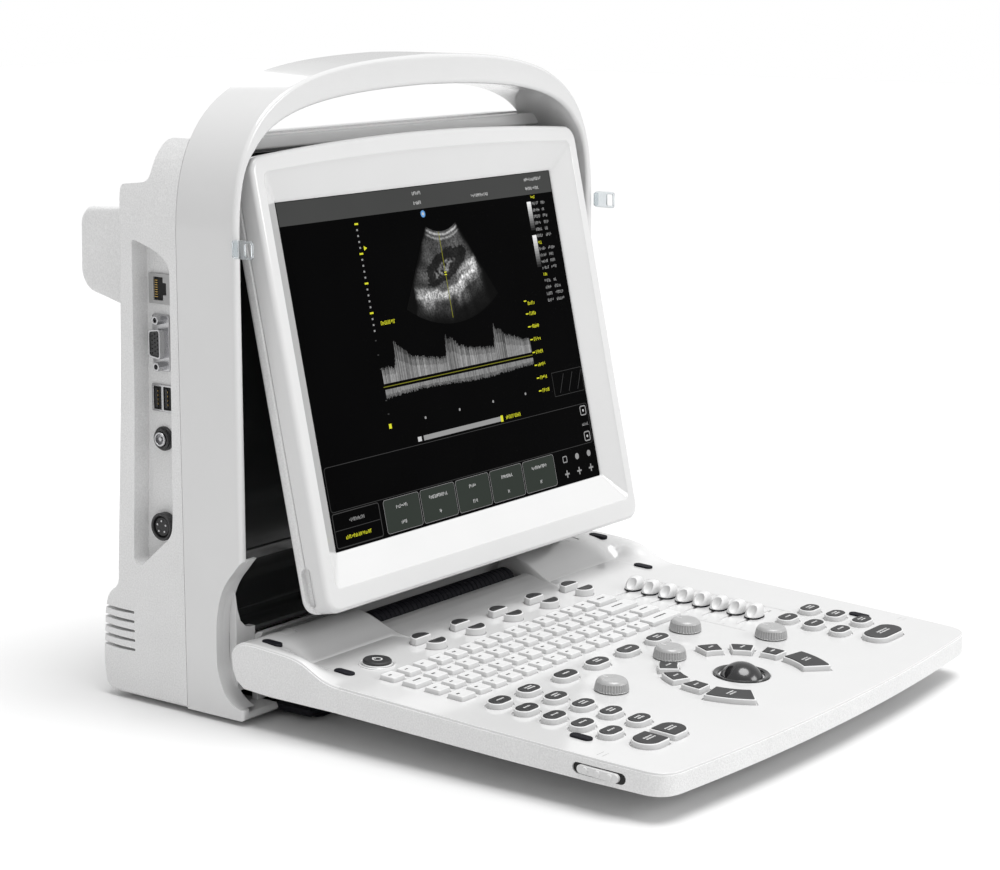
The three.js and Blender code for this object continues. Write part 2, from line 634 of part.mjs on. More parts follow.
// The two ovals of a row, the arcs and the large keys, grown by a margin.
function leftOvals(grow) {
  return OVAL_ROWS.flatMap((y) => OVAL_COLUMNS.map((x) => stadium(x, y, OVAL[0] + grow * 2, OVAL[1] + grow * 2)));
}
function upperOvals(grow) {
  return UPPER_OVALS.map((x) => stadium(x, OVAL_ROWS[0], WIDE_OVAL[0] + grow * 2, WIDE_OVAL[1] + grow * 2));
}
function rightOvals(grow) {
  const rows = OVAL_ROWS.slice(2);
  return rows.flatMap((y) => RIGHT_OVAL_COLUMNS.map((x) => stadium(x, y, OVAL[0] + grow * 2, OVAL[1] + grow * 2)));
}
function arcKeys(side, grow) {
  const turn = THREE.MathUtils.radToDeg(grow / 40);
  return [[48, 66], [22, 40], [-2, 14]].map(([from, to]) =>
    side > 0
      ? arcKey(from - turn, to + turn, 33 - grow, 45 + grow)
      : arcKey(180 - to - turn, 180 - from + turn, 33 - grow, 45 + grow),
  );
}
function largeArcKey(side, grow) {
  const turn = THREE.MathUtils.radToDeg(grow / 40);
  return side > 0
    ? arcKey(-40 - turn, -8 + turn, 34 - grow, 51 + grow)
    : arcKey(188 - turn, 220 + turn, 34 - grow, 51 + grow);
}
function confirmKey(grow) {
  return stadium(114, LARGE_ROW, 32 + grow * 2, 16.6 + grow * 2);
}
function splitKey(side, grow) {
  return halfStadium(-115 + side * 10.3, LARGE_ROW, 17.6 + grow * 2, 16.6 + grow * 2, side);
}
function softKeyShapes(grow) {
  return SOFT_KEYS.flatMap((x) => [leafKey(x, -44, 1, grow), leafKey(x, -58, -1, grow)]);
}

function makeTopCover() {
  let cover = acrossPanel(panelSkin(humpTop), panelSkin(shoulderTop));
  cover = cover.intersect(extrudeZ(panelPlan(0), -20, 20, 6));
  const cheek = outline([...shoulderTop(0), [-57, PANEL_TOP - PLATE], [13, PANEL_TOP - PLATE]]);
  cover = join(
    cover,
    extrudeX(cheek, -SHOULDER_X - CHEEK, -SHOULDER_X + 1),
    extrudeX(cheek, SHOULDER_X - 1, SHOULDER_X + CHEEK),
  );
  cover = cut(cover, rodX(2.8, -150.5, 150.5, 0, 0));
  const recess = box(-68, 68, -11, 20, 5.5, 20);
  const holes = [
    ...leftOvals(CLEAR), ...upperOvals(CLEAR), ...rightOvals(CLEAR), ...arcKeys(-1, CLEAR), ...arcKeys(1, CLEAR),
    largeArcKey(-1, CLEAR), largeArcKey(1, CLEAR), confirmKey(CLEAR), splitKey(-1, CLEAR), splitKey(1, CLEAR),
    ...softKeyShapes(CLEAR),
  ].map((shape) => extrudeZ(shape, -4, 6, 5));
  const rows = KEY_ROWS.map((y) => box(KEY_LEFT - 1, KEY_RIGHT + 1, y - 5.9, y + 5.9, -4, 6));
  const slots = SLIDER_ROWS.map((y) => box(SLIDER_X - 18, SLIDER_X + 18, y - 1.3, y + 1.3, -4, 6));
  const shafts = KNOBS.map(([x, y]) => discZ(3.6, 3.6, x, y, -4, 6, 10));
  const ball = discZ(15.8, 15.8, TRACKBALL.x, TRACKBALL.y, -4, 6);
  const power = discZ(8.6, 8.6, ...POWER_KEY, -4, 6, 16);
  return cut(cover, ...grooves, recess, ...holes, ...rows, ...slots, ...shafts, ball, power);
}
piece(panelGroup, "keyboard_top_cover", makeTopCover(), glossWhite);

function latchPocket(side, grow) {
  const x0 = Math.min(side * (HALF_WIDTH - 6), side * (HALF_WIDTH + 1));
  const shape = roundedRectangle(-LATCH_REACH, -4.9, 30 + grow, 5 + grow, 2);
  return extrudeX(shape, x0, x0 + 7, 3);
}
function makeBottomCover() {
  const outer = acrossPanel(panelBelly(humpTop), panelBelly(shoulderTop));
  const hollow = extrudeX(panelHollow, -HALF_WIDTH, HALF_WIDTH).intersect(extrudeZ(panelPlan(3), -20, 20, 6));
  const cup = discZ(15.4, 16.2, TRACKBALL.x, TRACKBALL.y, BALL_Z - TRACKBALL.radius - 2.4, -8.5, 20);
  const cupHollow = discZ(13.4, 14.2, TRACKBALL.x, TRACKBALL.y, BALL_Z - TRACKBALL.radius - 0.8, -7, 20);
  const cheekRooms = [-1, 1].map((side) => {
    const x = side * (SHOULDER_X - 0.5 + CHEEK / 2);
    const half = CHEEK / 2 + 0.5 + GAP;
    return box(x - half, x + half, -60, 20, PANEL_TOP - PLATE - 3 * GAP, 20);
  });
  const shell = join(outer.intersect(extrudeZ(panelPlan(0), -20, 20, 6)), cup);
  const ductRoom = rodX(8.2, -67, 67, 0, 0);
  return cut(shell, hollow, ductRoom, cupHollow, ...cheekRooms, ...grooves, latchPocket(-1, 0), latchPocket(1, 0));
}
piece(panelGroup, "keyboard_bottom_cover", makeBottomCover(), mattGrey);

const board = cut(box(-150, 150, -242, -34, -7, -5.4), discZ(15, 15, TRACKBALL.x, TRACKBALL.y, -8, -4));
piece(panelGroup, "control_board", board, boardGreen);

const cableDuct = cut(rodX(7.6, -66, 66, 0, 0), rodX(2.8, -67, 67, 0, 0, 12));
piece(panelGroup, "hinge_cable_duct", cableDuct, rubberBlack);

function makeTrackballRing() {
  const ring = discZ(15.2, 15.2, TRACKBALL.x, TRACKBALL.y, -2, PANEL_TOP + 0.8);
  const seat = discZ(13.6, 12.2, TRACKBALL.x, TRACKBALL.y, -2.5, PANEL_TOP + 1);
  return cut(ring, seat);
}
piece(panelGroup, "trackball_ring", makeTrackballRing(), capDark);

const ballGeometry = new THREE.SphereGeometry(TRACKBALL.radius, 22, 14);
piece(panelGroup, "trackball", toSolid(ballGeometry.translate(TRACKBALL.x, TRACKBALL.y, BALL_Z)), capDark);

// A key mat: caps that stand on one thin sheet under the cover.
function keyMat(shapes, sheet, top = CAP_TOP) {
  return join(extrudeZ(sheet, ...MAT), ...shapes.map((shape) => extrudeZ(shape, MAT[1] - 0.5, top, 5)));
}
function sheetBetween(x0, x1, y0, y1) {
  return outline([[x0, y0], [x1, y0], [x1, y1], [x0, y1]]);
}

const lastRow = OVAL_ROWS[OVAL_ROWS.length - 1];
piece(
  panelGroup, "left_function_keys",
  keyMat(leftOvals(0), sheetBetween(-136, -94, lastRow - 5, OVAL_ROWS[0] + 5)), capDark,
);
piece(
  panelGroup, "upper_function_keys",
  keyMat(upperOvals(0), sheetBetween(-78, 26, OVAL_ROWS[0] - 5, OVAL_ROWS[0] + 5)), capDark,
);
piece(
  panelGroup, "right_function_keys",
  keyMat(rightOvals(0), sheetBetween(93, 135, lastRow - 5, OVAL_ROWS[2] + 5)), capDark,
);
for (const [name, side] of [["trackball_keys_left", -1], ["trackball_keys_right", 1]]) {
  const sheet = side > 0 ? arcKey(-2, 66, 34, 44) : arcKey(114, 182, 34, 44);
  piece(panelGroup, name, keyMat(arcKeys(side, 0), sheet), capDark);
}

// Large single keys.
function singleKey(shape, top = CAP_TOP) {
  return extrudeZ(shape, MAT[0], top, 5);
}
piece(panelGroup, "select_key", singleKey(largeArcKey(-1, 0)), capDark);
piece(panelGroup, "enter_key", singleKey(largeArcKey(1, 0)), capDark);
piece(panelGroup, "save_key", singleKey(splitKey(-1, 0)), capDark);
piece(panelGroup, "print_key", singleKey(splitKey(1, 0)), capDark);
piece(panelGroup, "freeze_key", singleKey(confirmKey(0)), capDark);

const softSheet = sheetBetween(SOFT_KEYS[0] - 6, SOFT_KEYS[4] + 6, -62, -40);
piece(panelGroup, "soft_keys", keyMat(softKeyShapes(0), softSheet, PANEL_TOP + 3.2), capDark);
const powerKey = join(
  discZ(8.1, 8.1, ...POWER_KEY, MAT[0], PANEL_TOP + 1.4, 16),
  discZ(7.9, 7.4, ...POWER_KEY, PANEL_TOP + 1, PANEL_TOP + 3.2, 16),
);
piece(panelGroup, "power_key", powerKey, capDark);

// Alphanumeric keys on one mat.
function makeAlphanumericKeys() {
  const sheet = box(KEY_LEFT, KEY_RIGHT, KEY_ROWS[3] - 4, KEY_ROWS[0] + 4, ...MAT);
  const caps = KEY_LAYOUT.flatMap((row, index) =>
    row.map(([x, width]) => {
      const y = KEY_ROWS[index];
      return box(x - width / 2, x + width / 2, y - KEY_SIZE[1] / 2, y + KEY_SIZE[1] / 2, MAT[1] - 0.5, PANEL_TOP + 2.4);
    }),
  );
  return join(sheet, ...caps);
}
piece(panelGroup, "alphanumeric_keys", makeAlphanumericKeys(), keyWhite);

// Rotary encoder knobs.
KNOBS.forEach(([x, y], index) => {
  const skirt = discZ(9.2, 8.4, x, y, PANEL_TOP + 0.6, PANEL_TOP + 4.8);
  const crown = discZ(8.4, 7, x, y, PANEL_TOP + 4.8, PANEL_TOP + 6.6);
  const shaft = discZ(3, 3, x, y, -4.6, PANEL_TOP + 1, 10);
  piece(panelGroup, `rotary_knob_${index + 1}`, join(skirt, crown, shaft), knobGrey);
});

// Gain sliders: a cap on a thin stem that runs in a slot.
SLIDER_ROWS.forEach((y, index) => {
  const cap = extrudeZ(stadium(SLIDER_X, y, 14, 9.6), PANEL_TOP + 0.6, PANEL_TOP + 5, 5);
  const crown = extrudeZ(stadium(SLIDER_X, y, 11, 7.4), PANEL_TOP + 5, PANEL_TOP + 7.6, 5);
  const stem = box(SLIDER_X - 2.5, SLIDER_X + 2.5, y - 0.8, y + 0.8, -4.6, PANEL_TOP + 1);
  piece(panelGroup, `gain_slider_${index + 1}`, join(cap, crown, stem), keyWhite);
});

// Latch sliders in the panel's side faces.
const LATCH_Y = -LATCH_REACH;
for (const [name, side] of [["latch_slider_left", -1], ["latch_slider_right", 1]]) {
  const face = side * (HALF_WIDTH + 0.1);
  const x0 = side > 0 ? HALF_WIDTH - 5.4 : face;
  const slide = extrudeX(roundedRectangle(LATCH_Y, -4.9, 24, 4.4, 1.9), x0, x0 + 5.5, 3);
  const bumps = [-7, 0, 7].map((dy) => {
    const y = LATCH_Y + dy;
    return box(face - 0.6, face + 0.6, y - 1.5, y + 1.5, -6.4, -3.4);
  });
  piece(panelGroup, name, join(slide, ...bumps), mattGrey);
}

export default machine;
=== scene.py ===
import math
import random

import bmesh
import bpy
from mathutils import Matrix, Vector


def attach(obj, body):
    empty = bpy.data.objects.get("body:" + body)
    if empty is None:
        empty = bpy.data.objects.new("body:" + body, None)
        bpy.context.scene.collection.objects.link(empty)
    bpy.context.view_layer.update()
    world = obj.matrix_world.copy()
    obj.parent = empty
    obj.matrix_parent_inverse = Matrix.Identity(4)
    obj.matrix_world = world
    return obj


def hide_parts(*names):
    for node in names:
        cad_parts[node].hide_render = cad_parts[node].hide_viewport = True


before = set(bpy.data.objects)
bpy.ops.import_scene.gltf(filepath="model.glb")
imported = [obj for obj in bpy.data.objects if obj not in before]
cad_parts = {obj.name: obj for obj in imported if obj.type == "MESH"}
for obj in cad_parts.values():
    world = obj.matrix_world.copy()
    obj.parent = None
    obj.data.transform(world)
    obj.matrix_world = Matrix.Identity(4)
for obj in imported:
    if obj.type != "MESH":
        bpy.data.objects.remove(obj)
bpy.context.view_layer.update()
rng = random.Random(7)

# ---------- places: pieces are drawn in millimetres in the frame of what they belong to ----------
SHIFT = 106.0
MM = Matrix.Scale(0.001, 4)
CASE = MM @ Matrix.Translation((0, SHIFT, 0))
PANEL = MM @ Matrix.Translation((0, SHIFT - 40, 35)) @ Matrix.Rotation(math.radians(2.47), 4, "X")
MONITOR = MM @ Matrix.Translation((0, SHIFT - 49.8, 183.7)) @ Matrix.Rotation(math.radians(-12.1), 4, "X")
PLACES = {"case": CASE, "monitor": MONITOR}  # every other body rides on the panel
TOP = 2.0  # top face of the control panel in its own frame
HALF_WIDTH = 161
CASE_TOP = 348
BOTTOM = 3  # underside of the shells
SPLIT = 5  # depth of the seam between front and rear shell
HINGE = (-40, 35)  # the panel's hinge axis: depth and height in the case's frame
KNUCKLE_X = 131.5
SIDES = (-1, 1)


def placed(name, data):
    """A new object in the scene that shows data."""
    obj = bpy.data.objects.new(name, data)
    bpy.context.scene.collection.objects.link(obj)
    return obj


# ---------- outlines ----------
def smooth(points, n=6, closed=False):
    """A Catmull-Rom curve through the points."""
    count = len(points)
    out = []
    last = count if closed else count - 1
    for i in range(last):
        if closed:
            a, b, c, d = (points[(i + k) % count] for k in (-1, 0, 1, 2))
        else:
            a, b, c, d = (points[min(max(i + k, 0), count - 1)] for k in (-1, 0, 1, 2))
        for j in range(n):
            t = j / n
            out.append(tuple(
                0.5 * (2 * b[k] + (c[k] - a[k]) * t + (2 * a[k] - 5 * b[k] + 4 * c[k] - d[k]) * t * t
                       + (3 * b[k] - a[k] - 3 * c[k] + d[k]) * t ** 3)
                for k in range(len(b))
            ))
    if not closed:
        out.append(tuple(points[-1]))
    return out


def bezier(p0, p1, p2, p3, n=16):
    out = []
    for i in range(n):
        t = i / n
        s = 1 - t
        out.append(tuple(
            s ** 3 * p0[k] + 3 * s * s * t * p1[k] + 3 * s * t * t * p2[k] + t ** 3 * p3[k] for k in (0, 1)
        ))
    return out


def rounded(x, y, w, d, r, n=6):
    """A rectangle with rounded corners, anticlockwise."""
    r = min(r, w / 2 - 0.001, d / 2 - 0.001)
    out = []
    for cx, cy, start in ((1, 1, 0), (-1, 1, 90), (-1, -1, 180), (1, -1, 270)):
        for i in range(n + 1):
            t = math.radians(start + 90 * i / n)
            out.append((x + cx * (w / 2 - r) + r * math.cos(t), y + cy * (d / 2 - r) + r * math.sin(t)))
    return out


def circle(x, y, r, n=32):
    return [(x + r * math.cos(2 * math.pi * i / n), y + r * math.sin(2 * math.pi * i / n)) for i in range(n)]


def fillet(points, r, n=4):
    """Rounds every corner of a closed outline; r is one radius, or one for each corner."""
    out = []
    count = len(points)
    for i in range(count):
        p = Vector(points[i])
        a = Vector(points[i - 1]) - p
        b = Vector(points[(i + 1) % count]) - p
        radius = r[i] if isinstance(r, (list, tuple)) else r
        reach = min(radius, a.length * 0.45, b.length * 0.45)
        if reach < 1e-3:
            out.append(tuple(p))
            continue
        s = p + a.normalized() * reach
        e = p + b.normalized() * reach
        for k in range(n + 1):
            t = k / n
            q = s * (1 - t) ** 2 + p * 2 * t * (1 - t) + e * t * t
            out.append((q.x, q.y))
    return out


def area(loop):
    return sum(loop[i - 1][0] * loop[i][1] - loop[i][0] * loop[i - 1][1] for i in range(len(loop))) / 2


# ---------- solids: each is (vertices, faces) ----------
def loft(rings, closed=False):
    """Skins a row of rings with equal point counts; closed joins the last ring to the first."""
    n = len(rings[0])
    verts = [tuple(p) for ring in rings for p in ring]
    faces = []
    rows = len(rings)
    for r in range(rows if closed else rows - 1):
        s = (r + 1) % rows
        for i in range(n):
            j = (i + 1) % n
            faces.append((r * n + i, r * n + j, s * n + j, s * n + i))
    if not closed:
        faces.append(tuple(range(n - 1, -1, -1)))
        faces.append(tuple((rows - 1) * n + i for i in range(n)))
    return verts, faces


AXES = {"Z": lambda a, b, c: (a, b, c), "X": lambda a, b, c: (c, a, b), "Y": lambda a, b, c: (a, c, b)}


def plate(loops, low, high, bevel=0.0, axis="Z", steps=2):
    """A flat plate with holes and rounded edges. loops[0] is its outline, the others are holes."""
    curve = bpy.data.curves.new("outline", "CURVE")
    curve.dimensions = "2D"
    curve.fill_mode = "BOTH"
    curve.extrude = max((high - low) / 2 - bevel, 0.0005)
    curve.bevel_depth = bevel
    curve.bevel_resolution = steps
    curve.offset = -bevel
    for i, loop in enumerate(loops):
        if (area(loop) > 0) != (i == 0):
            loop = loop[::-1]
        spline = curve.splines.new("POLY")
        spline.points.add(len(loop) - 1)
        for point, (a, b) in zip(spline.points, loop):
            point.co = (a, b, 0, 1)
        spline.use_cyclic_u = True
    obj = placed("outline", curve)
    evaluated = obj.evaluated_get(bpy.context.evaluated_depsgraph_get())
    mesh = bpy.data.meshes.new_from_object(evaluated)
    middle = (low + high) / 2
    order = AXES[axis]
    verts = [order(v.co.x, v.co.y, v.co.z + middle) for v in mesh.vertices]
    faces = [tuple(p.vertices) for p in mesh.polygons]
    bpy.data.objects.remove(obj)
    bpy.data.curves.remove(curve)
    bpy.data.meshes.remove(mesh)
    return verts, faces


def block(x0, x1, y0, y1, z0, z1, bevel=0.4):
    return plate([rounded((x0 + x1) / 2, (y0 + y1) / 2, x1 - x0, y1 - y0, max(bevel, 0.05) * 1.5, 3)], z0, z1,
                 bevel)


def turned(profile, x=0.0, y=0.0, n=48, axis="Z", ribs=0, rib=0.0):
    """Turns (radius, height) pairs about an axis through x, y. A third value of 1 cuts ribs into that ring."""
    rings = []
    for entry in profile:
        r, h = entry[0], entry[1]
        depth = rib if len(entry) > 2 and entry[2] else 0.0
        ring = []
        for i in range(n):
            t = 2 * math.pi * i / n
            q = r - depth * (0.5 + 0.5 * math.cos(ribs * t)) if ribs else r
            ring.append(AXES[axis](x + q * math.cos(t), y + q * math.sin(t), h))
        rings.append(ring)
    return loft(rings)


def hoop(profile, x, y, n):
    """Turns a closed (radius, height) section about an upright axis, with an open middle."""
    return loft([[(a, b, z) for a, b in circle(x, y, r, n)] for r, z in profile], closed=True)


def side_plate(side, loops, near, far, bevel=0.0, steps=2):
    """A plate across X between two distances from the middle, on the side given by the sign."""
    return plate(loops, *sorted((side * near, side * far)), bevel, "X", steps)


def joined(parts):
    verts, faces = [], []
    for v, f in parts:
        base = len(verts)
        verts.extend(v)
        faces.extend(tuple(i + base for i in face) for face in f)
    return verts, faces


def to_bmesh(geo):
    bm = bmesh.new()
    made = [bm.verts.new(v) for v in geo[0]]
    for face in geo[1]:
        if len(set(face)) > 2:
            try:
                bm.faces.new([made[i] for i in face])
            except ValueError:
                pass
    bmesh.ops.remove_doubles(bm, verts=bm.verts, dist=1e-4)
    bmesh.ops.dissolve_degenerate(bm, edges=bm.edges, dist=1e-5)
    bmesh.ops.recalc_face_normals(bm, faces=bm.faces)
    return bm


def from_bmesh(bm):
    bm.verts.index_update()
    geo = ([tuple(v.co) for v in bm.verts], [tuple(v.index for v in f.verts) for f in bm.faces])
    bm.free()
    return geo


def sliced(geo, point, normal):
    """Cuts away what lies on the side the normal points to, and closes the cut."""
    bm = to_bmesh(geo)
    found = bmesh.ops.bisect_plane(
        bm, geom=bm.verts[:] + bm.edges[:] + bm.faces[:], plane_co=point, plane_no=normal, clear_outer=True,
        dist=1e-5,
    )
    edges = [e for e in found["geom_cut"] if isinstance(e, bmesh.types.BMEdge)]
    bmesh.ops.triangle_fill(bm, edges=edges, use_beauty=True, use_dissolve=False, normal=normal)
    return from_bmesh(bm)


def temporary(geo):
    bm = to_bmesh(geo)
    mesh = bpy.data.meshes.new("tool")
    bm.to_mesh(mesh)
    bm.free()
    return placed("tool", mesh)


def boolean(geo, tools, operation="DIFFERENCE"):
    base = temporary(geo)
    made = [temporary(t) for t in tools]
    for tool in made:
        modifier = base.modifiers.new("cut", "BOOLEAN")
        modifier.operation = operation
        modifier.solver = "EXACT"
        modifier.object = tool
    mesh = bpy.data.meshes.new_from_object(base.evaluated_get(bpy.context.evaluated_depsgraph_get()))
    out = ([tuple(v.co) for v in mesh.vertices], [tuple(p.vertices) for p in mesh.polygons])
    for obj in [base, *made]:
        bpy.data.objects.remove(obj)
    bpy.data.meshes.remove(mesh)
    return out


def piece(name, parts, body, nodes=(), angle=35):
    """Makes one object of {material: [solids]}, drawn in the frame of its body and riding on it."""
    mesh = bpy.data.meshes.new(name)
    whole = bmesh.new()
    for index, (material, solids) in enumerate(parts.items()):
        mesh.materials.append(material)
        bm = to_bmesh(joined(solids))
        for face in bm.faces:
            face.material_index = index
            face.smooth = True
        held = bpy.data.meshes.new("held")
        bm.to_mesh(held)
        bm.free()
        whole.from_mesh(held)
        bpy.data.meshes.remove(held)
    whole.to_mesh(mesh)
    whole.free()
    mesh.transform(PLACES.get(body, PANEL))
    mesh.set_sharp_from_angle(angle=math.radians(angle))
    obj = placed(name, mesh)
    even = obj.modifiers.new("even_shading", "WEIGHTED_NORMAL")
    even.keep_sharp = True
    even.weight = 50
    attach(obj, body)
    if nodes:
        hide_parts(*nodes)
    return obj


# ---------- materials ----------
def feed(tree, node, inputs):
    """Sets a node's inputs, each to a constant or from another node's output."""
    for key, value in inputs.items():
        if isinstance(value, bpy.types.NodeSocket):
            tree.links.new(value, node.inputs[key])
        else:
            node.inputs[key].default_value = value


def add(tree, kind, inputs, output, **settings):
    """Adds a node and gives back the named output."""
    node = tree.nodes.new("ShaderNode" + kind)
    for key, value in settings.items():
        setattr(node, key, value)
    feed(tree, node, inputs)
    return node.outputs[output]


def spread(tree, source, low, high):
    """Noise mostly lies between 0.3 and 0.7; this maps that span to low and high."""
    inputs = {"From Min": 0.3, "From Max": 0.7, "To Min": low, "To Max": high, "Value": source}
    return add(tree, "MapRange", inputs, "Result")


def grey_of(tree, level):
    return add(tree, "CombineColor", {"Red": level, "Green": level, "Blue": level}, "Color")


def surface(name, color, rough, metal=0.0, coat=0.0, grain=0.0, grain_scale=900.0, tint=0.03, rough_span=0.06,
            speckle=0.0, glow=0.0, transmission=0.0, ior=1.5, brushed=False):
    """A procedural finish: wide noise varies its tint and roughness, fine noise gives its grain and speckle."""
    material = bpy.data.materials.new(name)
    material.use_nodes = True
    tree = material.node_tree
    place = add(tree, "TexCoord", {}, "Object")
    place = add(tree, "Mapping", {"Scale": (1, 0.04, 1) if brushed else (1, 1, 1), "Vector": place}, "Vector")
    wide = add(tree, "TexNoise", {"Scale": 22.0, "Detail": 5.0, "Vector": place}, "Fac")
    fine = add(tree, "TexNoise", {"Scale": grain_scale, "Detail": 3.0, "Vector": place}, "Fac")
    colour = add(tree, "Mix", {
        "A": [c * (1 - tint) for c in color] + [1],
        "B": [min(1, c * (1 + tint)) for c in color] + [1],
        "Factor": spread(tree, wide, 0, 1),
    }, "Result", data_type="RGBA")
    if speckle:
        dots = grey_of(tree, spread(tree, fine, 1 - speckle, 1))
        colour = add(tree, "Mix", {"Factor": 1, "A": colour, "B": dots}, "Result", data_type="RGBA",
                     blend_type="MULTIPLY")
    inputs = {
        "Base Color": colour,
        "Roughness": spread(tree, wide, max(0.02, rough - rough_span), rough + rough_span),
        "Metallic": metal,
        "Coat Weight": coat,
        "Coat Roughness": 0.08,
        "IOR": ior,
        "Transmission Weight": transmission,
    }
    if glow:
        inputs.update({"Emission Color": colour, "Emission Strength": glow})
    if grain:
        inputs["Normal"] = add(tree, "Bump", {"Strength": grain, "Distance": 0.00025, "Height": fine},
                               "Normal")
    feed(tree, tree.nodes["Principled BSDF"], inputs)
    return material


WHITE = surface("gloss_white", (0.64, 0.64, 0.64), 0.16, coat=0.6, grain=0.03, grain_scale=160, tint=0.012,
                rough_span=0.03)
GREY = surface("textured_grey", (0.76, 0.76, 0.76), 0.6, grain=0.9, grain_scale=1100, speckle=0.14)
BLACK = surface("gloss_black", (0.022, 0.023, 0.023), 0.12, coat=0.5, grain=0.02, grain_scale=140)
CAP = surface("dark_caps", (0.026, 0.026, 0.027), 0.42, grain=0.18, grain_scale=2200, speckle=0.15)
KEY = surface("white_keys", (0.64, 0.64, 0.64), 0.42, grain=0.2, grain_scale=1800, tint=0.02)
KNOB = surface("grey_knobs", (0.36, 0.36, 0.36), 0.28, coat=0.4, grain=0.2, grain_scale=1600)
BALL = surface("black_ball", (0.014, 0.014, 0.015), 0.2, coat=0.6, grain=0.03, grain_scale=300)
RUBBER = surface("black_rubber", (0.01, 0.01, 0.014), 0.6, grain=0.6, grain_scale=1400, speckle=0.3, ior=1.25)
CLEAR = surface("clear_loop", (0.82, 0.86, 0.88), 0.08, transmission=0.9, ior=1.45, tint=0.01)
STEEL = surface("plain_steel", (0.5, 0.5, 0.51), 0.28, metal=1.0, grain=0.15, grain_scale=900, brushed=True)
GOLD = surface("contact_gold", (0.75, 0.5, 0.16), 0.25, metal=1.0, grain=0.1, grain_scale=900)
BOARD = surface("circuit_board", (0.02, 0.11, 0.05), 0.5, grain=0.5, grain_scale=500, speckle=0.5)
CELL = surface("battery_wrap", (0.05, 0.07, 0.11), 0.45, grain=0.2, grain_scale=400, speckle=0.2)
FAN = surface("fan_black", (0.015, 0.015, 0.016), 0.5, grain=0.3, grain_scale=900)
# Painted shade: a near-black finish for sheets that stand in for the shade inside openings and recesses.
SHADE_BLACK = surface("painted_shade_black", (0.01, 0.01, 0.01), 0.8, grain=0.2, grain_scale=600)
GLASS = surface("screen_glass", (0.0012, 0.0012, 0.0013), 0.3, ior=1.06, grain=0.01, grain_scale=90)


def lit(name, color, strength, speckle=0.0):
    return surface(name, [c * 0.2 for c in color], 0.4, glow=strength * 5, speckle=speckle, grain_scale=700,
                   ior=1.06)


# ---------- case ----------
def arch(inset=0.0):
    side, top = HALF_WIDTH - inset, CASE_TOP - inset
    right = bezier((side, 255), (side, top - 13), (112, top - 2), (0, top), 28)
    left = [(-x, z) for x, z in right[::-1]]
    return [(-side, BOTTOM + inset), (side, BOTTOM + inset), *right, (0, top), *left]


BAY_SIDE, BAY_TOP = 155.5, 331
bay_right = [*bezier((BAY_SIDE, 255), (BAY_SIDE, 284), (151, 296), (143, 303), 10),
             *bezier((143, 303), (128, 321), (96, 330), (0, BAY_TOP), 20)]
bay = [(-BAY_SIDE, 7), (BAY_SIDE, 7), *bay_right, (0, BAY_TOP), *[(-x, z) for x, z in bay_right[::-1]]]
cutout = smooth([(-36.5, 90.4), (-31, 84), (-24.5, 76), (-20, 66), (-17.6, 52), (-17.4, 32), (-19.6, 22.5),
                 (-23.5, 15), (-28.5, 10.8), (-33, 9)], 5)
tool = plate([cutout + [(-60, 9), (-60, 90.4)]], -170, 170, axis="X")
ring = sliced(plate([arch(), bay], -36, 12, 2.2, "Y", 3), (0, SPLIT - 0.1, 0), (0, 1, 0))
ring = boolean(ring, [tool])
wall = [(y + 2.2, z) for y, z in cutout]
flanges = [side_plate(side, [cutout + wall[::-1]], 149.0, 155.6, 0.3) for side in SIDES]
sill_outline = smooth([(-28.4, 45.2), (-27.3, 43.8), (-25.5, 41), (-24, 36), (-23.6, 28), (-23.4, 18),
                       (-23.4, 7)], 4)
sill_outline += [(-19.4, 7), (-19.4, 33), (-20.5, 41), (-23, 44), (-24.6, 45.2)]
sill = plate([sill_outline], -136.5, 136.5, 0.3, "X")
shelf = block(-146, 146, -6.5, 4.9, 300, 307.4, 1.6)
# The base plate is black rubber, dark also to paint the shadow that falls under the panel.
base = block(-134, 134, -59, 4.9, 3, 7, 1.0)
knuckles = []
for side in SIDES:
    near, far = sorted((side * (KNUCKLE_X - 4.3), side * (KNUCKLE_X + 4.3)))
    knuckles.append(plate([circle(*HINGE, 12.2, 48)], near, far, 0.4, "X"))
    knuckles.append(block(near, far, HINGE[0], -20, 30, 36.4, 0.6))
    corner = [(136, 15), (151, 15), (151, 70), (149.4, 60), (147.2, 53.4), (143.6, 49.8), (140, 48.6),
              (136, 48.4)]
    knuckles.append(plate([[(side * x, z) for x, z in corner]], -22.4, -17.4, 0.3, "Y"))
piece("case_front", {WHITE: [ring, *flanges, sill, shelf, *knuckles]}, "case", ["front_shell"])
piece("base_plate", {RUBBER: [base]}, "case")

rear_outline = fillet([
    (-4, BOTTOM), (62, BOTTOM), (67, 6), (69, 19), (66.5, 50), (64, 58.5), (56, 64), (55.5, 78), (50, 167),
    (47, 259),
    (47, 283), (27, 285), (25, 299), (22, 306), (18, 308), (-4, 308),
], [0, 5, 6, 10, 6, 5, 5, 6, 40, 20, 3, 5, 5, 6, 5, 0], 5)
recess = fillet([
    (42.5, 79), (38.5, 168), (37.5, 255), (20, 249.5), (10.5, 243), (10.5, 228), (12.5, 108), (13.5, 97),
    (26, 86.5),
    (37, 77),
], [3, 20, 3, 8, 9, 9, 9, 9, 12, 3], 5)
VENTS = (28.2, 33.5, 38.8, 44.1, 49.4)
vents = [fillet([(43.5, z), (56, z - 0.4), (80, z + 1.6), (80, z + 3.6), (56, z + 1.5), (43.5, z + 1.4)],
                [0.6, 6, 0, 0, 6, 0.6], 3) for z in VENTS]
SKIN = -149  # the left wall is a skin of its own outside this plane
FRONT_CUT = ((0, SPLIT + 0.3, 0), (0, -1, 0))
arch_tool = plate([arch(0.1)], -20, 110, 0, "Y")
side_skin = sliced(plate([rear_outline], -HALF_WIDTH, -143, 2.4, "X", 3), (SKIN, 0, 0), (1, 0, 0))
side_skin = boolean(side_skin, [plate([loop], -165, -145, 0, "X") for loop in [recess, *vents]])
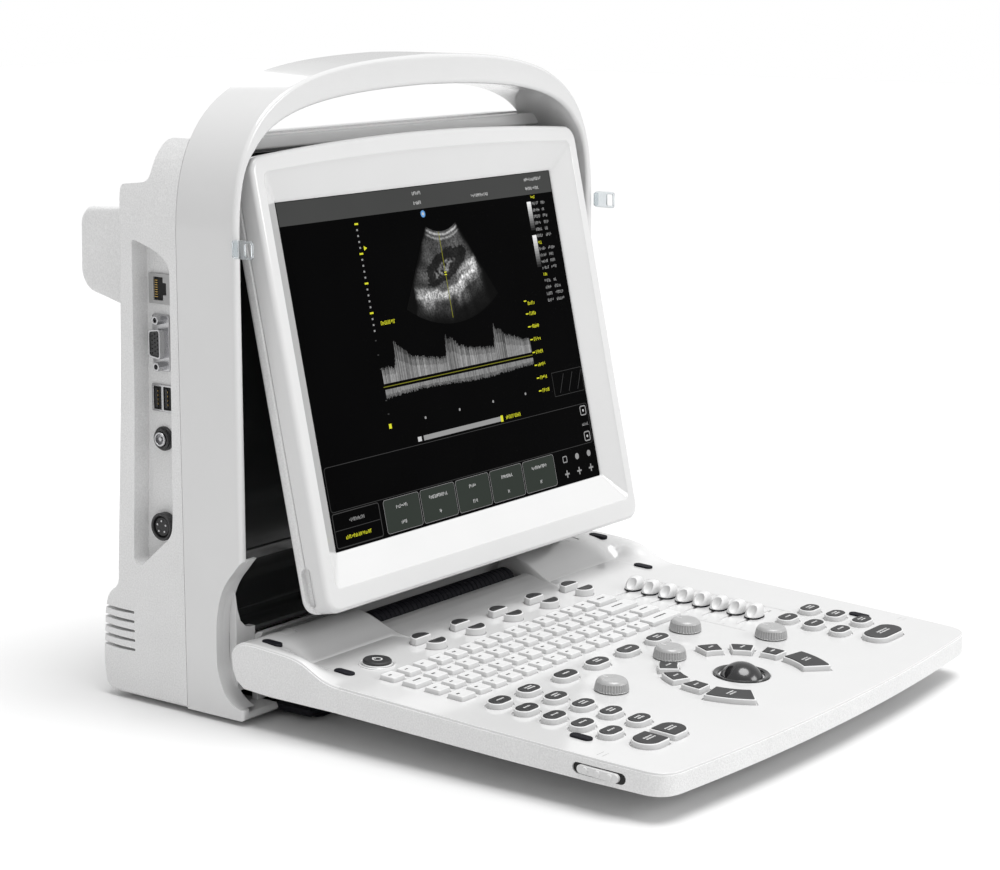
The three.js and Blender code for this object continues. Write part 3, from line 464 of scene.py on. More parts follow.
side_skin = boolean(sliced(side_skin, *FRONT_CUT), [arch_tool], "INTERSECT")
main = sliced(plate([rear_outline], -170, HALF_WIDTH, 2.4, "X", 3), (SKIN, 0, 0), (-1, 0, 0))
main = boolean(sliced(main, *FRONT_CUT), [arch_tool], "INTERSECT")
bay_room = fillet([(-147.3, 40), (147.3, 40), (147.3, 270), (141, 297.4), (-141, 297.4), (-147.3, 270)],
                  [2, 2, 20, 8, 8, 20], 5)
main = boolean(main, [plate([bay_room], 0, 15.9, 0, "Y")])
# A near-black block behind the vents paints the shade inside the vent openings.
vent_shade = block(-150.4, -148.6, 42, 63.5, 26, 54, 0.1)
piece("case_rear", {GREY: [side_skin, main], SHADE_BLACK: [vent_shade]}, "case", ["rear_shell"])

# Socket recess: its floor, and the sockets that stand on it.
FLOOR = -150.0
SY = 27.5  # depth of the line the sockets stand on
JACK_Z, VIDEO_Z, USB_Z, COAX_Z, DIN_Z = 228, 199, 169, 147, 99
floor_plate = plate([recess], FLOOR, FLOOR + 2.4, 0.1, "X")
piece("socket_floor", {GREY: [floor_plate]}, "case", ["port_plate"])


def upright(y, z, w, d, r, low, high, bevel=0.2, holes=()):
    """A plate that faces the left side: w along Y, d along Z, from low to high above the recess floor."""
    loops = [rounded(y, z, w, d, r, 4), *holes]
    return plate(loops, FLOOR - high, FLOOR - low, bevel, "X")


def around(y, z, points):
    return [(y + dy, z + dz) for dy, dz in points]


mouth = fillet(around(SY, JACK_Z, [(4.4, -6.2), (4.4, 6.2), (-2.6, 6.2), (-2.6, 3.2), (-5.0, 3.2),
                                   (-5.0, -3.2),
                                   (-2.6, -3.2), (-2.6, -6.2)]), 0.3, 2)
jack = upright(SY, JACK_Z, 15.6, 16.4, 0.6, 0.0, 1.4, 0.3, [mouth])
# A near-black sheet behind the mouth paints the shade deep in the socket.
jack_shade = upright(SY, JACK_Z, 13.4, 14.4, 0.5, -0.4, 0.3, 0.1)
pins = [upright(SY + 2.9, JACK_Z - 4.4 + i * 1.25, 2.2, 0.4, 0.1, 0.2, 0.8, 0.05) for i in range(8)]
piece("network_jack", {KNOB: [jack], SHADE_BLACK: [jack_shade], GOLD: pins}, "case", ["network_socket"])

dee = fillet(around(SY, VIDEO_Z, [(-4.2, -8.2), (-4.2, 8.2), (4.2, 7.2), (4.2, -7.2)]), 1.8, 4)
dee_in = fillet(around(SY, VIDEO_Z, [(-3.5, -7.2), (-3.5, 7.2), (3.5, 6.2), (3.5, -6.2)]), 1.5, 4)
flange = upright(SY, VIDEO_Z, 12.2, 30.6, 1.5, 0.2, 1.2, 0.3)
nuts = [plate([circle(SY, z, 2.6, 6), circle(SY, z, 1.3, 16)], FLOOR - 5.5, FLOOR - 1.0, 0.25, "X")
        for z in (VIDEO_Z - 12.5, VIDEO_Z + 12.5)]
holes = [circle(SY + dy, VIDEO_Z + (i - 2) * 2.3 + off - 0.5, 0.45, 8)
         for dy, off in ((-2, 0), (0, 1.15), (2, 0)) for i in range(5)]
shell = plate([dee, dee_in], FLOOR - 6.4, FLOOR - 1.0, 0.2, "X")
insert = plate([dee_in, *holes], FLOOR - 5.6, FLOOR - 1.0, 0.1, "X")
# A near-black disc behind the pin holes paints the shade inside them.
shade = plate([circle(SY, VIDEO_Z, 3.0, 16)], FLOOR - 1.6, FLOOR - 1.0, 0.1, "X")
piece("video_connector", {STEEL: [flange, shell, *nuts], CAP: [insert], SHADE_BLACK: [shade]}, "case",
      ["video_socket"])

ports = (SY - 3.6, SY + 3.6)
usb_frame = upright(SY, USB_Z, 15.2, 14.6, 0.5, 0.0, 1.2, 0.2,
                    [rounded(y, USB_Z, 5.6, 12.4, 0.4, 2) for y in ports])
tongues = [upright(y + 1.0, USB_Z, 1.8, 10.4, 0.2, 0.1, 0.9, 0.1) for y in ports]
usb_pins = [upright(y + 0.1, USB_Z - 3.4 + i * 2.33, 0.3, 1.0, 0.05, 0.2, 0.8, 0.03) for y in ports
            for i in range(4)]
# A near-black sheet behind the ports paints the shade inside them.
back = upright(SY, USB_Z, 13.8, 13.2, 0.4, -0.4, 0.2, 0.1)
piece("usb_connector", {STEEL: [usb_frame], SHADE_BLACK: [back], FAN: tongues, GOLD: usb_pins}, "case",
      ["usb_socket"])


def seen(profile):
    """Turns a profile whose height grows away from the recess floor into one along X."""
    return [(r, FLOOR - h, *rest) for r, h, *rest in profile]


nut = turned(seen([(0.01, 0.0), (6.6, 0.0), (6.6, 1.2), (6.2, 1.7), (5.6, 1.7), (5.4, 3.0), (5.0, 3.3),
                   (4.4, 3.3),
                   (4.2, 3.0), (4.2, 1.4), (0.01, 1.4)]), SY, COAX_Z, 40, "X")
coax = turned(seen([(0.01, 1.3), (3.9, 1.3), (3.9, 3.9), (3.6, 4.3), (2.9, 4.3), (2.7, 4.0), (2.7, 2.0),
                    (1.3, 2.0),
                    (1.1, 3.6), (0.01, 3.6)]), SY, COAX_Z, 36, "X")
piece("coaxial_connector", {CAP: [nut], STEEL: [coax]}, "case", ["round_socket"])

din = turned(seen([(0.01, 0.3), (7.6, 0.3), (7.6, 4.4), (7.1, 5.0), (6.4, 5.0), (6.0, 4.6), (6.0, 1.8),
                   (0.01, 1.8)]),
             SY, DIN_Z, 40, "X")
din_core = turned(seen([(0.01, 1.7), (5.2, 1.7), (5.2, 3.6), (4.9, 3.9), (0.01, 3.9)]), SY, DIN_Z, 36, "X")
din_pins = [turned(seen([(0.01, 3.8), (0.55, 3.8), (0.55, 4.4), (0.01, 4.4)]), SY + 3.2 * math.cos(t),
                   DIN_Z + 3.2 * math.sin(t), 10, "X")
                   for t in [math.radians(a) for a in (20, 90, 160, 230, 310)]]
piece("foot_switch_connector", {CAP: [din], FAN: [din_core], STEEL: din_pins}, "case",
      ["foot_switch_socket"])

housing = fillet([(46.9, 270), (86, 268.5), (92, 262), (93, 230), (88, 222), (48.4, 212)], [0, 5, 6, 8, 8, 0],
                 6)
piece("back_housing", {GREY: [plate([housing], -146, -58, 3.5, "X", 5)]}, "case",
      ["rear_housing"])
for name, y, node in (("front_pad", -50, "front_foot"), ("rear_pad", 52, "rear_foot")):
    foot = plate([rounded(0, y, 250, 14, 5, 6)], 0, 2.7, 0.8)
    grooves = [plate([rounded(x, y, 2.0, 9, 1.0, 3)], -0.01, 0.4, 0.0) for x in range(-110, 111, 10)]
    piece(name, {RUBBER: [boolean(foot, grooves)]}, "case", [node])

screws = []
for x, y, z in ((-146, 69.1, 20), (146, 69.1, 20), (-146, 54.6, 100), (146, 54.6, 100), (-40, 47.1, 268),
                (146, 47.1, 268)):
    head = [(0.01, y - 3.0), (3.4, y - 3.0), (3.4, y - 1.6), (2.6, y - 0.5), (0.8, y - 0.3), (0.8, y - 1.4),
            (0.01, y - 1.4)]
    screws.append(turned(head, x, z, 24, "Y"))
piece("back_screws", {STEEL: screws}, "case")

LOOP_Z = 254.7
for word, side in (("left", -1), ("right", 1)):
    window = rounded(-47.4, LOOP_Z, 4.4, 7.0, 0.8, 4)
    loop = side_plate(side, [rounded(-43.5, LOOP_Z, 14, 9.6, 1.6, 6), window], 162.0, 163.6, 0.3, 3)
    root = plate([rounded(-38, LOOP_Z, 3, 8, 1, 3)], side * 161.4 - 0.35, side * 161.7 + 0.35, 0.1, "X")
    piece(f"latch_loop_{word}", {CLEAR: [loop, root]}, "case", [f"latch_ring_{word}"])

# The lining of the bay: a tray with a raised border and rounded lower corners.
lining = smooth([(-21.6, 48), (-14, 48), (-6, 48.6), (1, 52), (7, 58.5), (11, 67), (12.6, 80), (13, 95)], 4)
lining += [(13, 297), (15.8, 297), (15.8, 95), (13.5, 66), (-0.4, 45.2), (-21.6, 45.2)]
lining = plate([lining], -155, 155, 0.2, "X")
inside = fillet([(-147, 44), (147, 44), (147, 270), (141, 297), (-141, 297), (-147, 270)],
                [6, 6, 20, 8, 8, 20], 5)
lining = boolean(lining, [plate([inside], -40, 40, 0, "Y")], "INTERSECT")
inset = plate([rounded(0, 175, 282, 206, 14, 8), rounded(0, 175, 268, 192, 10, 8)], 11.6, 13.2, 0.7, "Y", 3)
piece("bay_lining", {BLACK: [lining, inset]}, "case", ["cavity_panel"])

# ---------- monitor ----------
def screen_ring(side, bottom, top, radius, crown, y, n=10):
    """One loop of the monitor: straight sides, round corners and a crowned top edge."""
    flat, low, high = side - radius, bottom + radius, top - radius

    def corner(x, z, start):
        turns = [math.radians(start + 90 * i / n) for i in range(n)]
        return [(x + radius * math.cos(t), y, z + radius * math.sin(t)) for t in turns]

    shares = [i / n for i in range(n)]
    thirds = [1 - 2 * i / (3 * n) for i in range(3 * n)]
    return [
        *((-flat + 2 * flat * t, y, bottom) for t in shares), *corner(flat, low, -90),
        *((side, y, low + (high - low) * t) for t in shares), *corner(flat, high, 0),
        *((flat * t, y, top + crown * (1 - t * t)) for t in thirds), *corner(-flat, high, 90),
        *((-side, y, high - (high - low) * t) for t in shares), *corner(-flat, low, 180),
    ]


bezel_steps = [
    (144.3, -122.3, 117.3, 8.4, 5.0, 4.0), (145, -123, 118, 9, 5.0, 3.3), (145, -123, 118, 9, 5.0, -5.4),
    (144.8, -122.8, 117.8, 8.8, 5.0, -6.4), (144.2, -122.2, 117.2, 8.3, 5.0, -7.2),
    (143.3, -121.3, 116.3, 7.6, 4.9, -7.8), (142.4, -120.4, 115.4, 7.0, 4.8, -8.0),
    (137.4, -111.2, 109.6, 4.6, 4.0, -8.0), (136.8, -110.4, 108.9, 4.2, 3.8, -7.8),
    (136.4, -110.0, 108.5, 4.0, 3.7, -7.2), (124.6, -94.8, 94.8, 1.6, 0.6, -0.9),
    (123.6, -93.7, 93.7, 1.0, 0.1, -0.2),
    (123.1, -93.2, 93.2, 0.6, 0.0, 0.4), (123.1, -93.2, 93.2, 0.6, 0.0, 1.5), (139, -116, 111, 6, 0.0, 1.5),
    (139, -116, 111, 6, 0.0, 4.0),
]
grips = [plate([rounded(3.6, -107.5, 7.4, 21, 3.7, 8)], side * 145 - 3.0, side * 145 + 3.0, 0.0, "X")
         for side in SIDES]
bezel = boolean(loft([screen_ring(*s) for s in bezel_steps], closed=True), grips)
piece("bezel", {WHITE: [bezel]}, "monitor", ["monitor_bezel"], angle=40)
cover_steps = [
    (141, -118, 113, 8, 4.0, 4.3), (144.3, -122.3, 117.3, 8.4, 5.0, 4.3), (145, -123, 118, 9, 5.0, 5.0),
    (145, -123, 118, 9, 5.0, 8.4), (144.4, -122.4, 117.4, 8.6, 5.0, 10.2),
    (143.0, -121.0, 116.0, 8.0, 5.0, 11.5),
    (140.5, -118.6, 113.4, 9.6, 4.6, 12.0), (122.6, -104.6, 74.6, 12, 0.0, 12.2),
    (121, -103, 73, 11.5, 0.0, 13.4),
    (110.5, -91, 61, 10, 0.0, 22.6), (107.5, -87.6, 57.6, 9, 0.0, 24.0), (1, -1, 1, 0.3, 0.0, 24.0),
    (1, -1, 1, 0.3, 0.0, 21.5), (104, -84, 54, 8, 0.0, 21.4), (118, -100, 70, 8, 0.0, 9.6),
    (141, -118, 113, 8, 4.0, 9.4),
]
cover = boolean(loft([screen_ring(*s) for s in cover_steps], closed=True), grips)
piece("monitor_back", {GREY: [cover]}, "monitor", ["monitor_rear_cover"], angle=40)

# The display and its picture. Marks are thin solids on the glass; none of them is lettering.
marks = {}


def layer(level):
    """Front and back of a mark: higher levels lie in front of lower ones."""
    front = 0.42 - 0.05 * level
    return front, front + 0.04


def mark(material, loops, level=1):
    """A flat mark on the display: u to the right, v up, from the screen's centre."""
    marks.setdefault(material, []).append(plate(loops, *layer(level), 0.0, "Y"))


def bar(material, u0, u1, v0, v1, level=1):
    """A straight mark."""
    verts = [(u, y, v) for y in layer(level) for u, v in ((u0, v0), (u1, v0), (u1, v1), (u0, v1))]
    faces = [(0, 1, 2, 3), (7, 6, 5, 4), (0, 4, 5, 1), (1, 5, 6, 2), (2, 6, 7, 3), (3, 7, 4, 0)]
    marks.setdefault(material, []).append((verts, faces))


def dashes(material, u0, u1, v, height=1.9, level=2):
    """A row of short strokes of uneven width that stands for a line of small print."""
    u = u0
    while u < u1 - 0.3:
        low = rng.choice((0.0, 0.0, 0.0, 0.3)) * height
        high = rng.choice((0.0, 0.0, 0.25)) * height
        bar(material, u, u + 0.34, v - height / 2 + low, v + height / 2 - high, level)
        if rng.random() < 0.55:
            middle = v - height / 2 + low + rng.choice((0.0, 0.45, 0.85)) * (height - low - high)
            bar(material, u, u + rng.uniform(0.7, 1.0), middle, middle + 0.3, level)
        u += rng.uniform(0.75, 1.3)


def frame_of(material, u0, u1, v0, v1, wide=0.5, radius=1.5, level=1):
    """The border of a rectangle, with rounded corners."""
    cu, cv, w, h = (u0 + u1) / 2, (v0 + v1) / 2, u1 - u0, v1 - v0
    inner = rounded(cu, cv, w - 2 * wide, h - 2 * wide, max(radius - wide, 0.2), 4)
    mark(material, [rounded(cu, cv, w, h, radius, 4), inner], level)


BAR_GREY = lit("mark_bar", (0.055, 0.056, 0.055), 0.9)
PALE = lit("mark_pale", (0.5, 0.5, 0.5), 0.9)
YELLOW = lit("mark_yellow", (0.62, 0.62, 0.03), 0.9)
DIM_YELLOW = lit("mark_dim_yellow", (0.2, 0.2, 0.02), 0.8)
SOFT = lit("mark_soft_key", (0.035, 0.042, 0.036), 0.8)
LINE = lit("mark_line", (0.05, 0.05, 0.05), 0.8)
MID = lit("mark_grey", (0.27, 0.27, 0.27), 0.9)
SKY = lit("mark_sky", (0.12, 0.3, 0.6), 0.9)

bar(BAR_GREY, -122.4, 122.4, 80.2, 92.8)
for u0, u1, v in ((-9.5, -1.5, 89.2), (-9.5, -2.5, 83.8), (43.5, 59.5, 83.8), (96.5, 113, 89.2),
                  (96.5, 109, 83.8)):
    dashes(PALE, u0, u1, v)
mark(SKY, [circle(-2.8, 77.2, 2.0, 20)])
mark(PALE, [circle(-2.8, 77.2, 0.9, 12)], 2)
for i in range(19):
    v = 76.5 - i * 3.26
    major = i % 5 == 0
    bar(YELLOW if major else MID, -62.6 if major else -61.9, -59.6 if major else -60.6, v - 0.5, v + 0.5)
mark(YELLOW, [[(-58.2, 61.6), (-55.6, 62.9), (-58.2, 64.2)]])
dashes(YELLOW, -55, -43, 21.2, 2.2)
for v in (12.5, 4.6, -3.2, -20.5, -28):
    bar(LINE, -62.3, -61, v - 0.3, v + 0.3)
bar(YELLOW, -63, -60.8, -36, -33.4)
for u in (-31, 0, 31.5, 63):
    mark(MID, [circle(u, -34.6, 0.8, 12)])
bar(DIM_YELLOW, -62, 76, -13.45, -13.05, 3)
for i in range(8):
    v = 18.6 - i * 7.65
    bar(YELLOW, 76.5, 79, v - 0.35, v + 0.35)
    dashes(YELLOW, 80, 87, v - 1.6 if i == 0 else v, 2.1)
READINGS = (78.5, 74.6, 70.7, 66.8, 63, 59.2, 55.4, 51.3, 47.5, 43.7, 39.9, 36.1, 32.2, 28.3, 24.4, 20.5,
            16.6)
for row, v in enumerate(READINGS):
    head = row in (0, 7, 12)
    dashes(YELLOW if head else MID, 100.4, 104 if head else 106.5, v, 1.8)
    if not head:
        dashes(MID, 109.5, rng.uniform(112, 118), v, 1.8)
STEPS = 12
for top, bottom in ((76, 59), (56, 37)):
    step = (top - bottom) / STEPS
    for i in range(STEPS):
        g = 0.75 * (1 - i / STEPS) ** 1.6 + 0.005
        shade = lit(f"mark_ramp_{top}_{i}", (g, g, g), 0.9)
        bar(shade, 95.6, 99.6, top - (i + 1) * step, top - i * step)
frame_of(LINE, 91.4, 122, -40.6, -26.2, 0.25, 0.3)
for u in (97, 106, 115):
    mark(LINE, [[(u, -39), (u + 0.4, -39), (u + 6.4, -28), (u + 6, -28)]])
bar(MID, -35.4, 36.2, -46.8, -44.0)
bar(PALE, -40.6, -37.4, -46.7, -44.1)
bar(YELLOW, 35.8, 38, -47.2, -43.6, 2)
dashes(YELLOW, 41, 55.5, -45.3, 2.2)
frame_of(LINE, -121.4, 121.4, -72.4, -48.2, 0.3, 2.0)
for v in (-52.4, -68):
    frame_of(MID, 113.6, 119.8, v - 3.0, v + 3.0, 0.7, 1.4)
    mark(PALE, [circle(116.7, v, 0.8, 10)], 2)
dashes(MID, 113.6, 120, -60.6, 1.8)
frame_of(LINE, -121.4, -82.6, -91.8, -73, 0.5, 1.6)
bar(LINE, -120.6, -83.4, -82.5, -82.2)
dashes(MID, -108, -95.5, -78.2)
dashes(YELLOW, -113, -91.5, -86.8)
for i, (half, value) in enumerate(((5, 2.6), (8, 0.8), (3.5, 2), (5, 0.8), (7, 0.8))):
    u = -79.6 + i * 31.9
    middle = u + 15.9
    bar(SOFT, u + 1.0, u + 30.8, -91.3, -73.5)
    frame_of(MID, u + 0.5, u + 31.3, -91.7, -73.1, 0.22, 1.7, 2)
    dashes(PALE, middle - half, middle + half, -78.2, level=3)
    dashes(PALE, middle - value, middle + value, -87, level=3)
for u in (90.5, 103, 115.2):
    for v in (-78.2, -87):
        kind = rng.choice((0, 1, 2))
        if kind == 0:
            frame_of(MID, u - 2.2, u + 2.2, v - 2.0, v + 2.0, 0.6, 0.8)
        elif kind == 1:
            mark(MID, [circle(u, v, 1.9, 16)])
        else:
            bar(MID, u - 2.2, u + 2.2, v - 0.5, v + 0.5)
            bar(MID, u - 0.5, u + 0.5, v - 2.2, v + 2.2)

# The blood-flow trace: crests of the upper half, from left to right.
crests = [(-61, -3.0), (-56, -2.6), (-50, -3.4), (-48.6, 0), (-47.4, 11), (-45, 8), (-42, 6.2), (-38.5, 4.2),
          (-36, 1.5), (-30, 0.4), (-20, -1.8), (-12, -3), (-5, -3.6), (-3.6, -2), (-2.2, 9.4), (0, 5.5),
          (2, 7), (5, 5),
          (9, 1.5), (14, 0), (24, -2), (34, -3), (40.8, -3.8), (42, 2), (43.2, 9.4), (46, 5.4), (49, 5.8),
          (52, 2.6),
          (58, 0.6), (66, -1.4), (76, -3.6)]


def level_at(points, x):
    """The height of a polyline at x."""
    for (x0, y0), (x1, y1) in zip(points, points[1:]):
        if x0 <= x <= x1:
            return y0 + (y1 - y0) * (x - x0) / (x1 - x0)
    return points[-1][1]


WAVES = [lit(f"mark_wave_{i}", (g, g, g), 0.9, speckle=0.25)
         for i, g in enumerate((0.05, 0.1, 0.17, 0.25, 0.34))]
ABOVE, BELOW = -11.6, -14.8  # the two halves start a little off the base line
u = -61.0
while u <= 75.6:
    crest = level_at(crests, u) + rng.uniform(-1.2, 0.6)
    trough = -19.4 - 0.9 * math.sin(u / 17) + rng.uniform(-0.5, 0.9)
    tone = rng.choice((2, 3, 3, 4)) - (1 if crest > 3 else 0)
    cuts = [ABOVE + (crest - ABOVE) * share for share in (0, 0.55, 0.85, 1)]
    for k in range(3):
        bar(WAVES[max(tone - k, 0)], u, u + 0.46, cuts[k], cuts[k + 1])
    middle = BELOW + (trough - BELOW) * 0.6
    bar(WAVES[rng.choice((2, 3, 3))], u, u + 0.46, middle, BELOW)
    bar(WAVES[rng.choice((1, 1, 2))], u, u + 0.46, trough, middle)
    u += 0.5

lattice = [[rng.random() for _ in range(64)] for _ in range(64)]


def noise(x, y):
    """Smooth noise from 0 to 1 on a repeating lattice."""
    i, j = math.floor(x), math.floor(y)
    fx, fy = (c * c * (3 - 2 * c) for c in (x - i, y - j))
    a, b = (lattice[i % 64][k % 64] * (1 - fx) + lattice[(i + 1) % 64][k % 64] * fx for k in (j, j + 1))
    return a * (1 - fy) + b * fy


def echo(u, v, r, t):
    """Brightness of the scan image at u, v; r and t are its distance and angle from the probe's centre."""
    coarse = noise(t * 9 + 5, r / 6)
    fine = noise(t * 40 + 9, r / 0.9)
    value = 0.03 + 0.05 * coarse + 0.05 * fine * coarse
    if r < 31:
        value += 0.42 * math.exp(-((r - 27.6) / 0.6) ** 2) + 0.22 * math.exp(-((r - 30.0) / 0.6) ** 2)
    ragged = 0.5 * (coarse - 0.5) + 0.3 * (fine - 0.5)
    organ = ((u - 10) / 20) ** 2 + ((v - 47 - 0.3 * (u - 10)) / 8.5) ** 2 + ragged
    if organ < 1:
        value *= 0.2
        core = ((u - 8) / 12) ** 2 + ((v - 46 - 0.32 * (u - 10)) / 4.2) ** 2 + ragged
        if core < 1:
            value += 0.75 * (1 - core) * max(0.0, noise(u / 1.6, v / 1.1) - 0.35)
    band = v - (31 + 0.0105 * (u - 2) ** 2 + 0.12 * u) + 5 * (coarse - 0.5)
    streaks = 0.25 + 1.1 * noise(t * 55, r / 1.6)
    value += (0.5 if band > 0 else 0.6) * math.exp(-(band / (1.8 if band > 0 else 4.5)) ** 2) * streaks
    second = v - (47.5 + 0.42 * (u - 32)) + 2 * (coarse - 0.5)
    if u > 18:
        value += 0.4 * math.exp(-(second / 1.6) ** 2) * min(1, (u - 18) / 6) * streaks
        if -12 < second < 0:
            value += 0.12 * streaks
    if band < -5:
        value *= max(0.15, 1 + (band + 5) * 0.07) * (0.4 + 1.2 * noise(t * 22, 3))
    side = min(0.56, math.asin(min(1, 33.5 / r))) + 0.03 * (coarse - 0.5)
    edge = min(1, (side - abs(t)) / 0.09, (79.5 - r) / 14)
    return max(0.002, value * rng.uniform(0.75, 1.25)) * max(0.0, edge)


ROWS, COLUMNS = 120, 110
PROBE = (11.0, 92.0)  # centre of the scan's arcs
NEAR, FAR, HALF_ANGLE = 25.8, 78.2, 0.57
fan_points, fan_values = [], []
for i in range(ROWS + 1):
    r = NEAR + (FAR - NEAR) * i / ROWS
    for j in range(COLUMNS + 1):
        t = HALF_ANGLE * (2 * j / COLUMNS - 1)
        u, v = PROBE[0] + r * math.sin(t), PROBE[1] - r * math.cos(t)
        fan_points.append((u, v))
        fan_values.append(echo(u, v, r, t))


def spot(i, j):
    return i * (COLUMNS + 1) + j


fan_mesh = bpy.data.meshes.new("scan_image")
quads = [(spot(i, j), spot(i, j + 1), spot(i + 1, j + 1), spot(i + 1, j))
         for i in range(ROWS) for j in range(COLUMNS)]
count = len(fan_points)
rim = [*(spot(0, j) for j in range(COLUMNS + 1)), *(spot(i, COLUMNS) for i in range(1, ROWS + 1)),
       *(spot(ROWS, j) for j in range(COLUMNS - 1, -1, -1)), *(spot(i, 0) for i in range(ROWS - 1, 0, -1))]
sides = [(a, b, b + count, a + count) for a, b in zip(rim, rim[1:] + rim[:1])]
fan_mesh.from_pydata([(u, 0.36, v) for u, v in fan_points] + [(u, 0.40, v) for u, v in fan_points], [],
                     quads + [tuple(i + count for i in q[::-1]) for q in quads] + sides)
attribute = fan_mesh.attributes.new("echo", "FLOAT", "POINT")
attribute.data.foreach_set("value", fan_values + fan_values)
helper = bmesh.new()
helper.from_mesh(fan_mesh)
bmesh.ops.recalc_face_normals(helper, faces=helper.faces)
helper.to_mesh(fan_mesh)
helper.free()
fan_mesh.transform(MONITOR)
scan = bpy.data.materials.new("scan_image")
scan.use_nodes = True
tree = scan.node_tree
place = add(tree, "TexCoord", {}, "Object")
grains = add(tree, "TexNoise", {"Scale": 900, "Vector": place}, "Fac")
level = add(tree, "Attribute", {}, "Fac", attribute_name="echo")
level = add(tree, "Math", {0: level, 1: spread(tree, grains, 0.45, 1.5)}, "Value", operation="MULTIPLY")
feed(tree, tree.nodes["Principled BSDF"], {
    "Roughness": 0.5, "Specular IOR Level": 0.02, "Base Color": (0.002, 0.002, 0.002, 1),
    "Emission Color": grey_of(tree, level), "Emission Strength": 1.0,
})
fan_mesh.materials.append(scan)
fan_obj = placed("scan_image", fan_mesh)
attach(fan_obj, "monitor")
bar(DIM_YELLOW, 7.8, 8.3, 17, 66, 4)
bar(YELLOW, 7, 9.1, 41.4, 41.9, 5)
bar(YELLOW, 7, 9.1, 42.8, 43.3, 5)
piece("display_marks", marks, "monitor")
glass = plate([rounded(0, 0, 246, 186.2, 0.6, 3)], 0.45, 1.45, 0.1, "Y")
back = plate([rounded(0, 0, 264, 206, 2, 3)], 1.8, 8.5, 0.5, "Y")
piece("display_glass", {GLASS: [glass]}, "monitor")
piece("display_module", {STEEL: [back]}, "monitor", ["display_panel"])

# ---------- control panel ----------
def resampled(points, count):
    """The polyline as count points at even steps along it."""
    lengths = [0.0]
    for a, b in zip(points, points[1:]):
        lengths.append(lengths[-1] + math.dist(a, b))
    out = []
    for i in range(count):
        want = lengths[-1] * i / (count - 1)
        k = max(j for j in range(len(lengths)) if lengths[j] <= want + 1e-9)
        k = min(k, len(points) - 2)
        t = (want - lengths[k]) / max(lengths[k + 1] - lengths[k], 1e-9)
        out.append(tuple(points[k][c] + (points[k + 1][c] - points[k][c]) * t for c in (0, 1)))
    return out


REAR_EDGE = -62.0
COUNT = 56
shoulder_line = resampled(smooth([(13, 0), (13.1, 4.2), (10, 8.6), (2.5, 11.7), (-15, 11.7), (-29, 11.0),
                                  (-37, 9.3),
                                  (-44, 6.3), (-50.5, 3.6), (-57, 2.2), (REAR_EDGE, 2)], 6), COUNT)
barrel_line = resampled(smooth([(12.5, 0), (11.6, 4.8), (9.0, 8.6), (4.8, 11.4), (0, 12.3), (-8, 11.2),
                                (-15.5, 8.2),
                                (-21.5, 4.9), (-26.5, 2.7), (-30, 2), (REAR_EDGE, 2)], 6), COUNT)
centre_line = resampled([(-9.3, -0.4), (-9.3, 3.4), (-10.2, 4.4), (-14, 4.6), (-20, 3.9), (-27, 2.4),
                         (-31, 2),
                         (REAR_EDGE, 2)], COUNT)


def mixed(a, b, t):
    return [(p[0] + (q[0] - p[0]) * t, p[1] + (q[1] - p[1]) * t) for p, q in zip(a, b)]


def cover_ring(x, line, drop=0.0, thick=2.3):
    """The cover's section at x: its top line and the same line moved in by the wall."""
    top, under = [], []
    for i, (y, z) in enumerate(line):
        a = line[max(i - 1, 0)]
        b = line[min(i + 1, len(line) - 1)]
        dy, dz = b[0] - a[0], b[1] - a[1]
        size = math.hypot(dy, dz) or 1
        ny, nz = dz / size, -dy / size
        if nz < 0 and dy < 0:
            ny, nz = -ny, -nz
        top.append((x, y - ny * drop, z - nz * drop))
        under.append((x, y - ny * thick, z - nz * thick))
    return top + under[::-1]


def ease(t):
    t = max(0.0, min(1.0, t))
    return t * t * (3 - 2 * t)


samples = [(x, shoulder_line, drop) for x, drop in (
    (160.6, 1.0), (160.45, 0.6), (160.15, 0.25), (159.7, 0.06), (159.2, 0.0))]
samples += [(x, mixed(barrel_line, shoulder_line, ease((x - 140.4) / 17.6)), 0.0)
            for x in (158 - i * 1.1 for i in range(17))]
samples += [(x, mixed(barrel_line, centre_line, t), 0.0) for x, t in (
    (130, 0), (110, 0), (90, 0), (74, 0), (72.5, 0.12), (71, 0.5), (69.5, 0.88), (68, 1.0), (60, 1.0),
    (0.0, 1.0))]
rings = [cover_ring(x, line, drop) for x, line, drop in samples]
rings += [[(-p[0], p[1], p[2]) for p in ring] for ring in rings[-2::-1]]
hump = loft(rings)

FRONT = -268.0
CORNER = -259.0


def plan(inset=0.0):
    """The panel's outline from above."""
    side, low = HALF_WIDTH - inset, CORNER + inset
    right = [(side, 20), (side, -150), (side - 1.2, low + 40)]
    corner = bezier((side - 2.5, low + 14), (side - 2.6, low + 4), (side - 7, low - 0.4),
                    (side - 17, low - 1.4), 10)
    edge = [((side - 17) * (1 - i / 12), FRONT + inset + 7.6 * (1 - i / 12) ** 2) for i in range(12)]
    half = right + corner + edge
    return half + [(0, FRONT + inset)] + [(-x, y) for x, y in half[::-1]]


OVAL_ROWS = [-139.7, -156.6, -173.5, -190.4, -207.3]
LEFT_COLUMNS = (-127.5, -102.5)
RIGHT_COLUMNS = (101.5, 126.5)
UPPER = (-70, -40.8, -11.6, 17.6)
BIG_ROW = -227.5
BALL_AT = (0.0, -204.5)
KNOBS = [(-69.5, -168.5), (-2, -160.5), (46.5, -139.5), (68.5, -182)]
SLIDER_X, SLIDER_PITCH = 96.0, 11.75
SLIDERS = [-72.5 - i * SLIDER_PITCH for i in range(8)]
SOFT_KEYS = [-73 + i * 35 for i in range(5)]
POWER = (-118.5, -52.5)
KEY_ROWS = [-73.6, -88.4, -103.2, -118]


def stadium(x, y, w, d, grow=0.0):
    return rounded(x, y, w + 2 * grow, d + 2 * grow, min(w, d) / 2 + grow, 10)


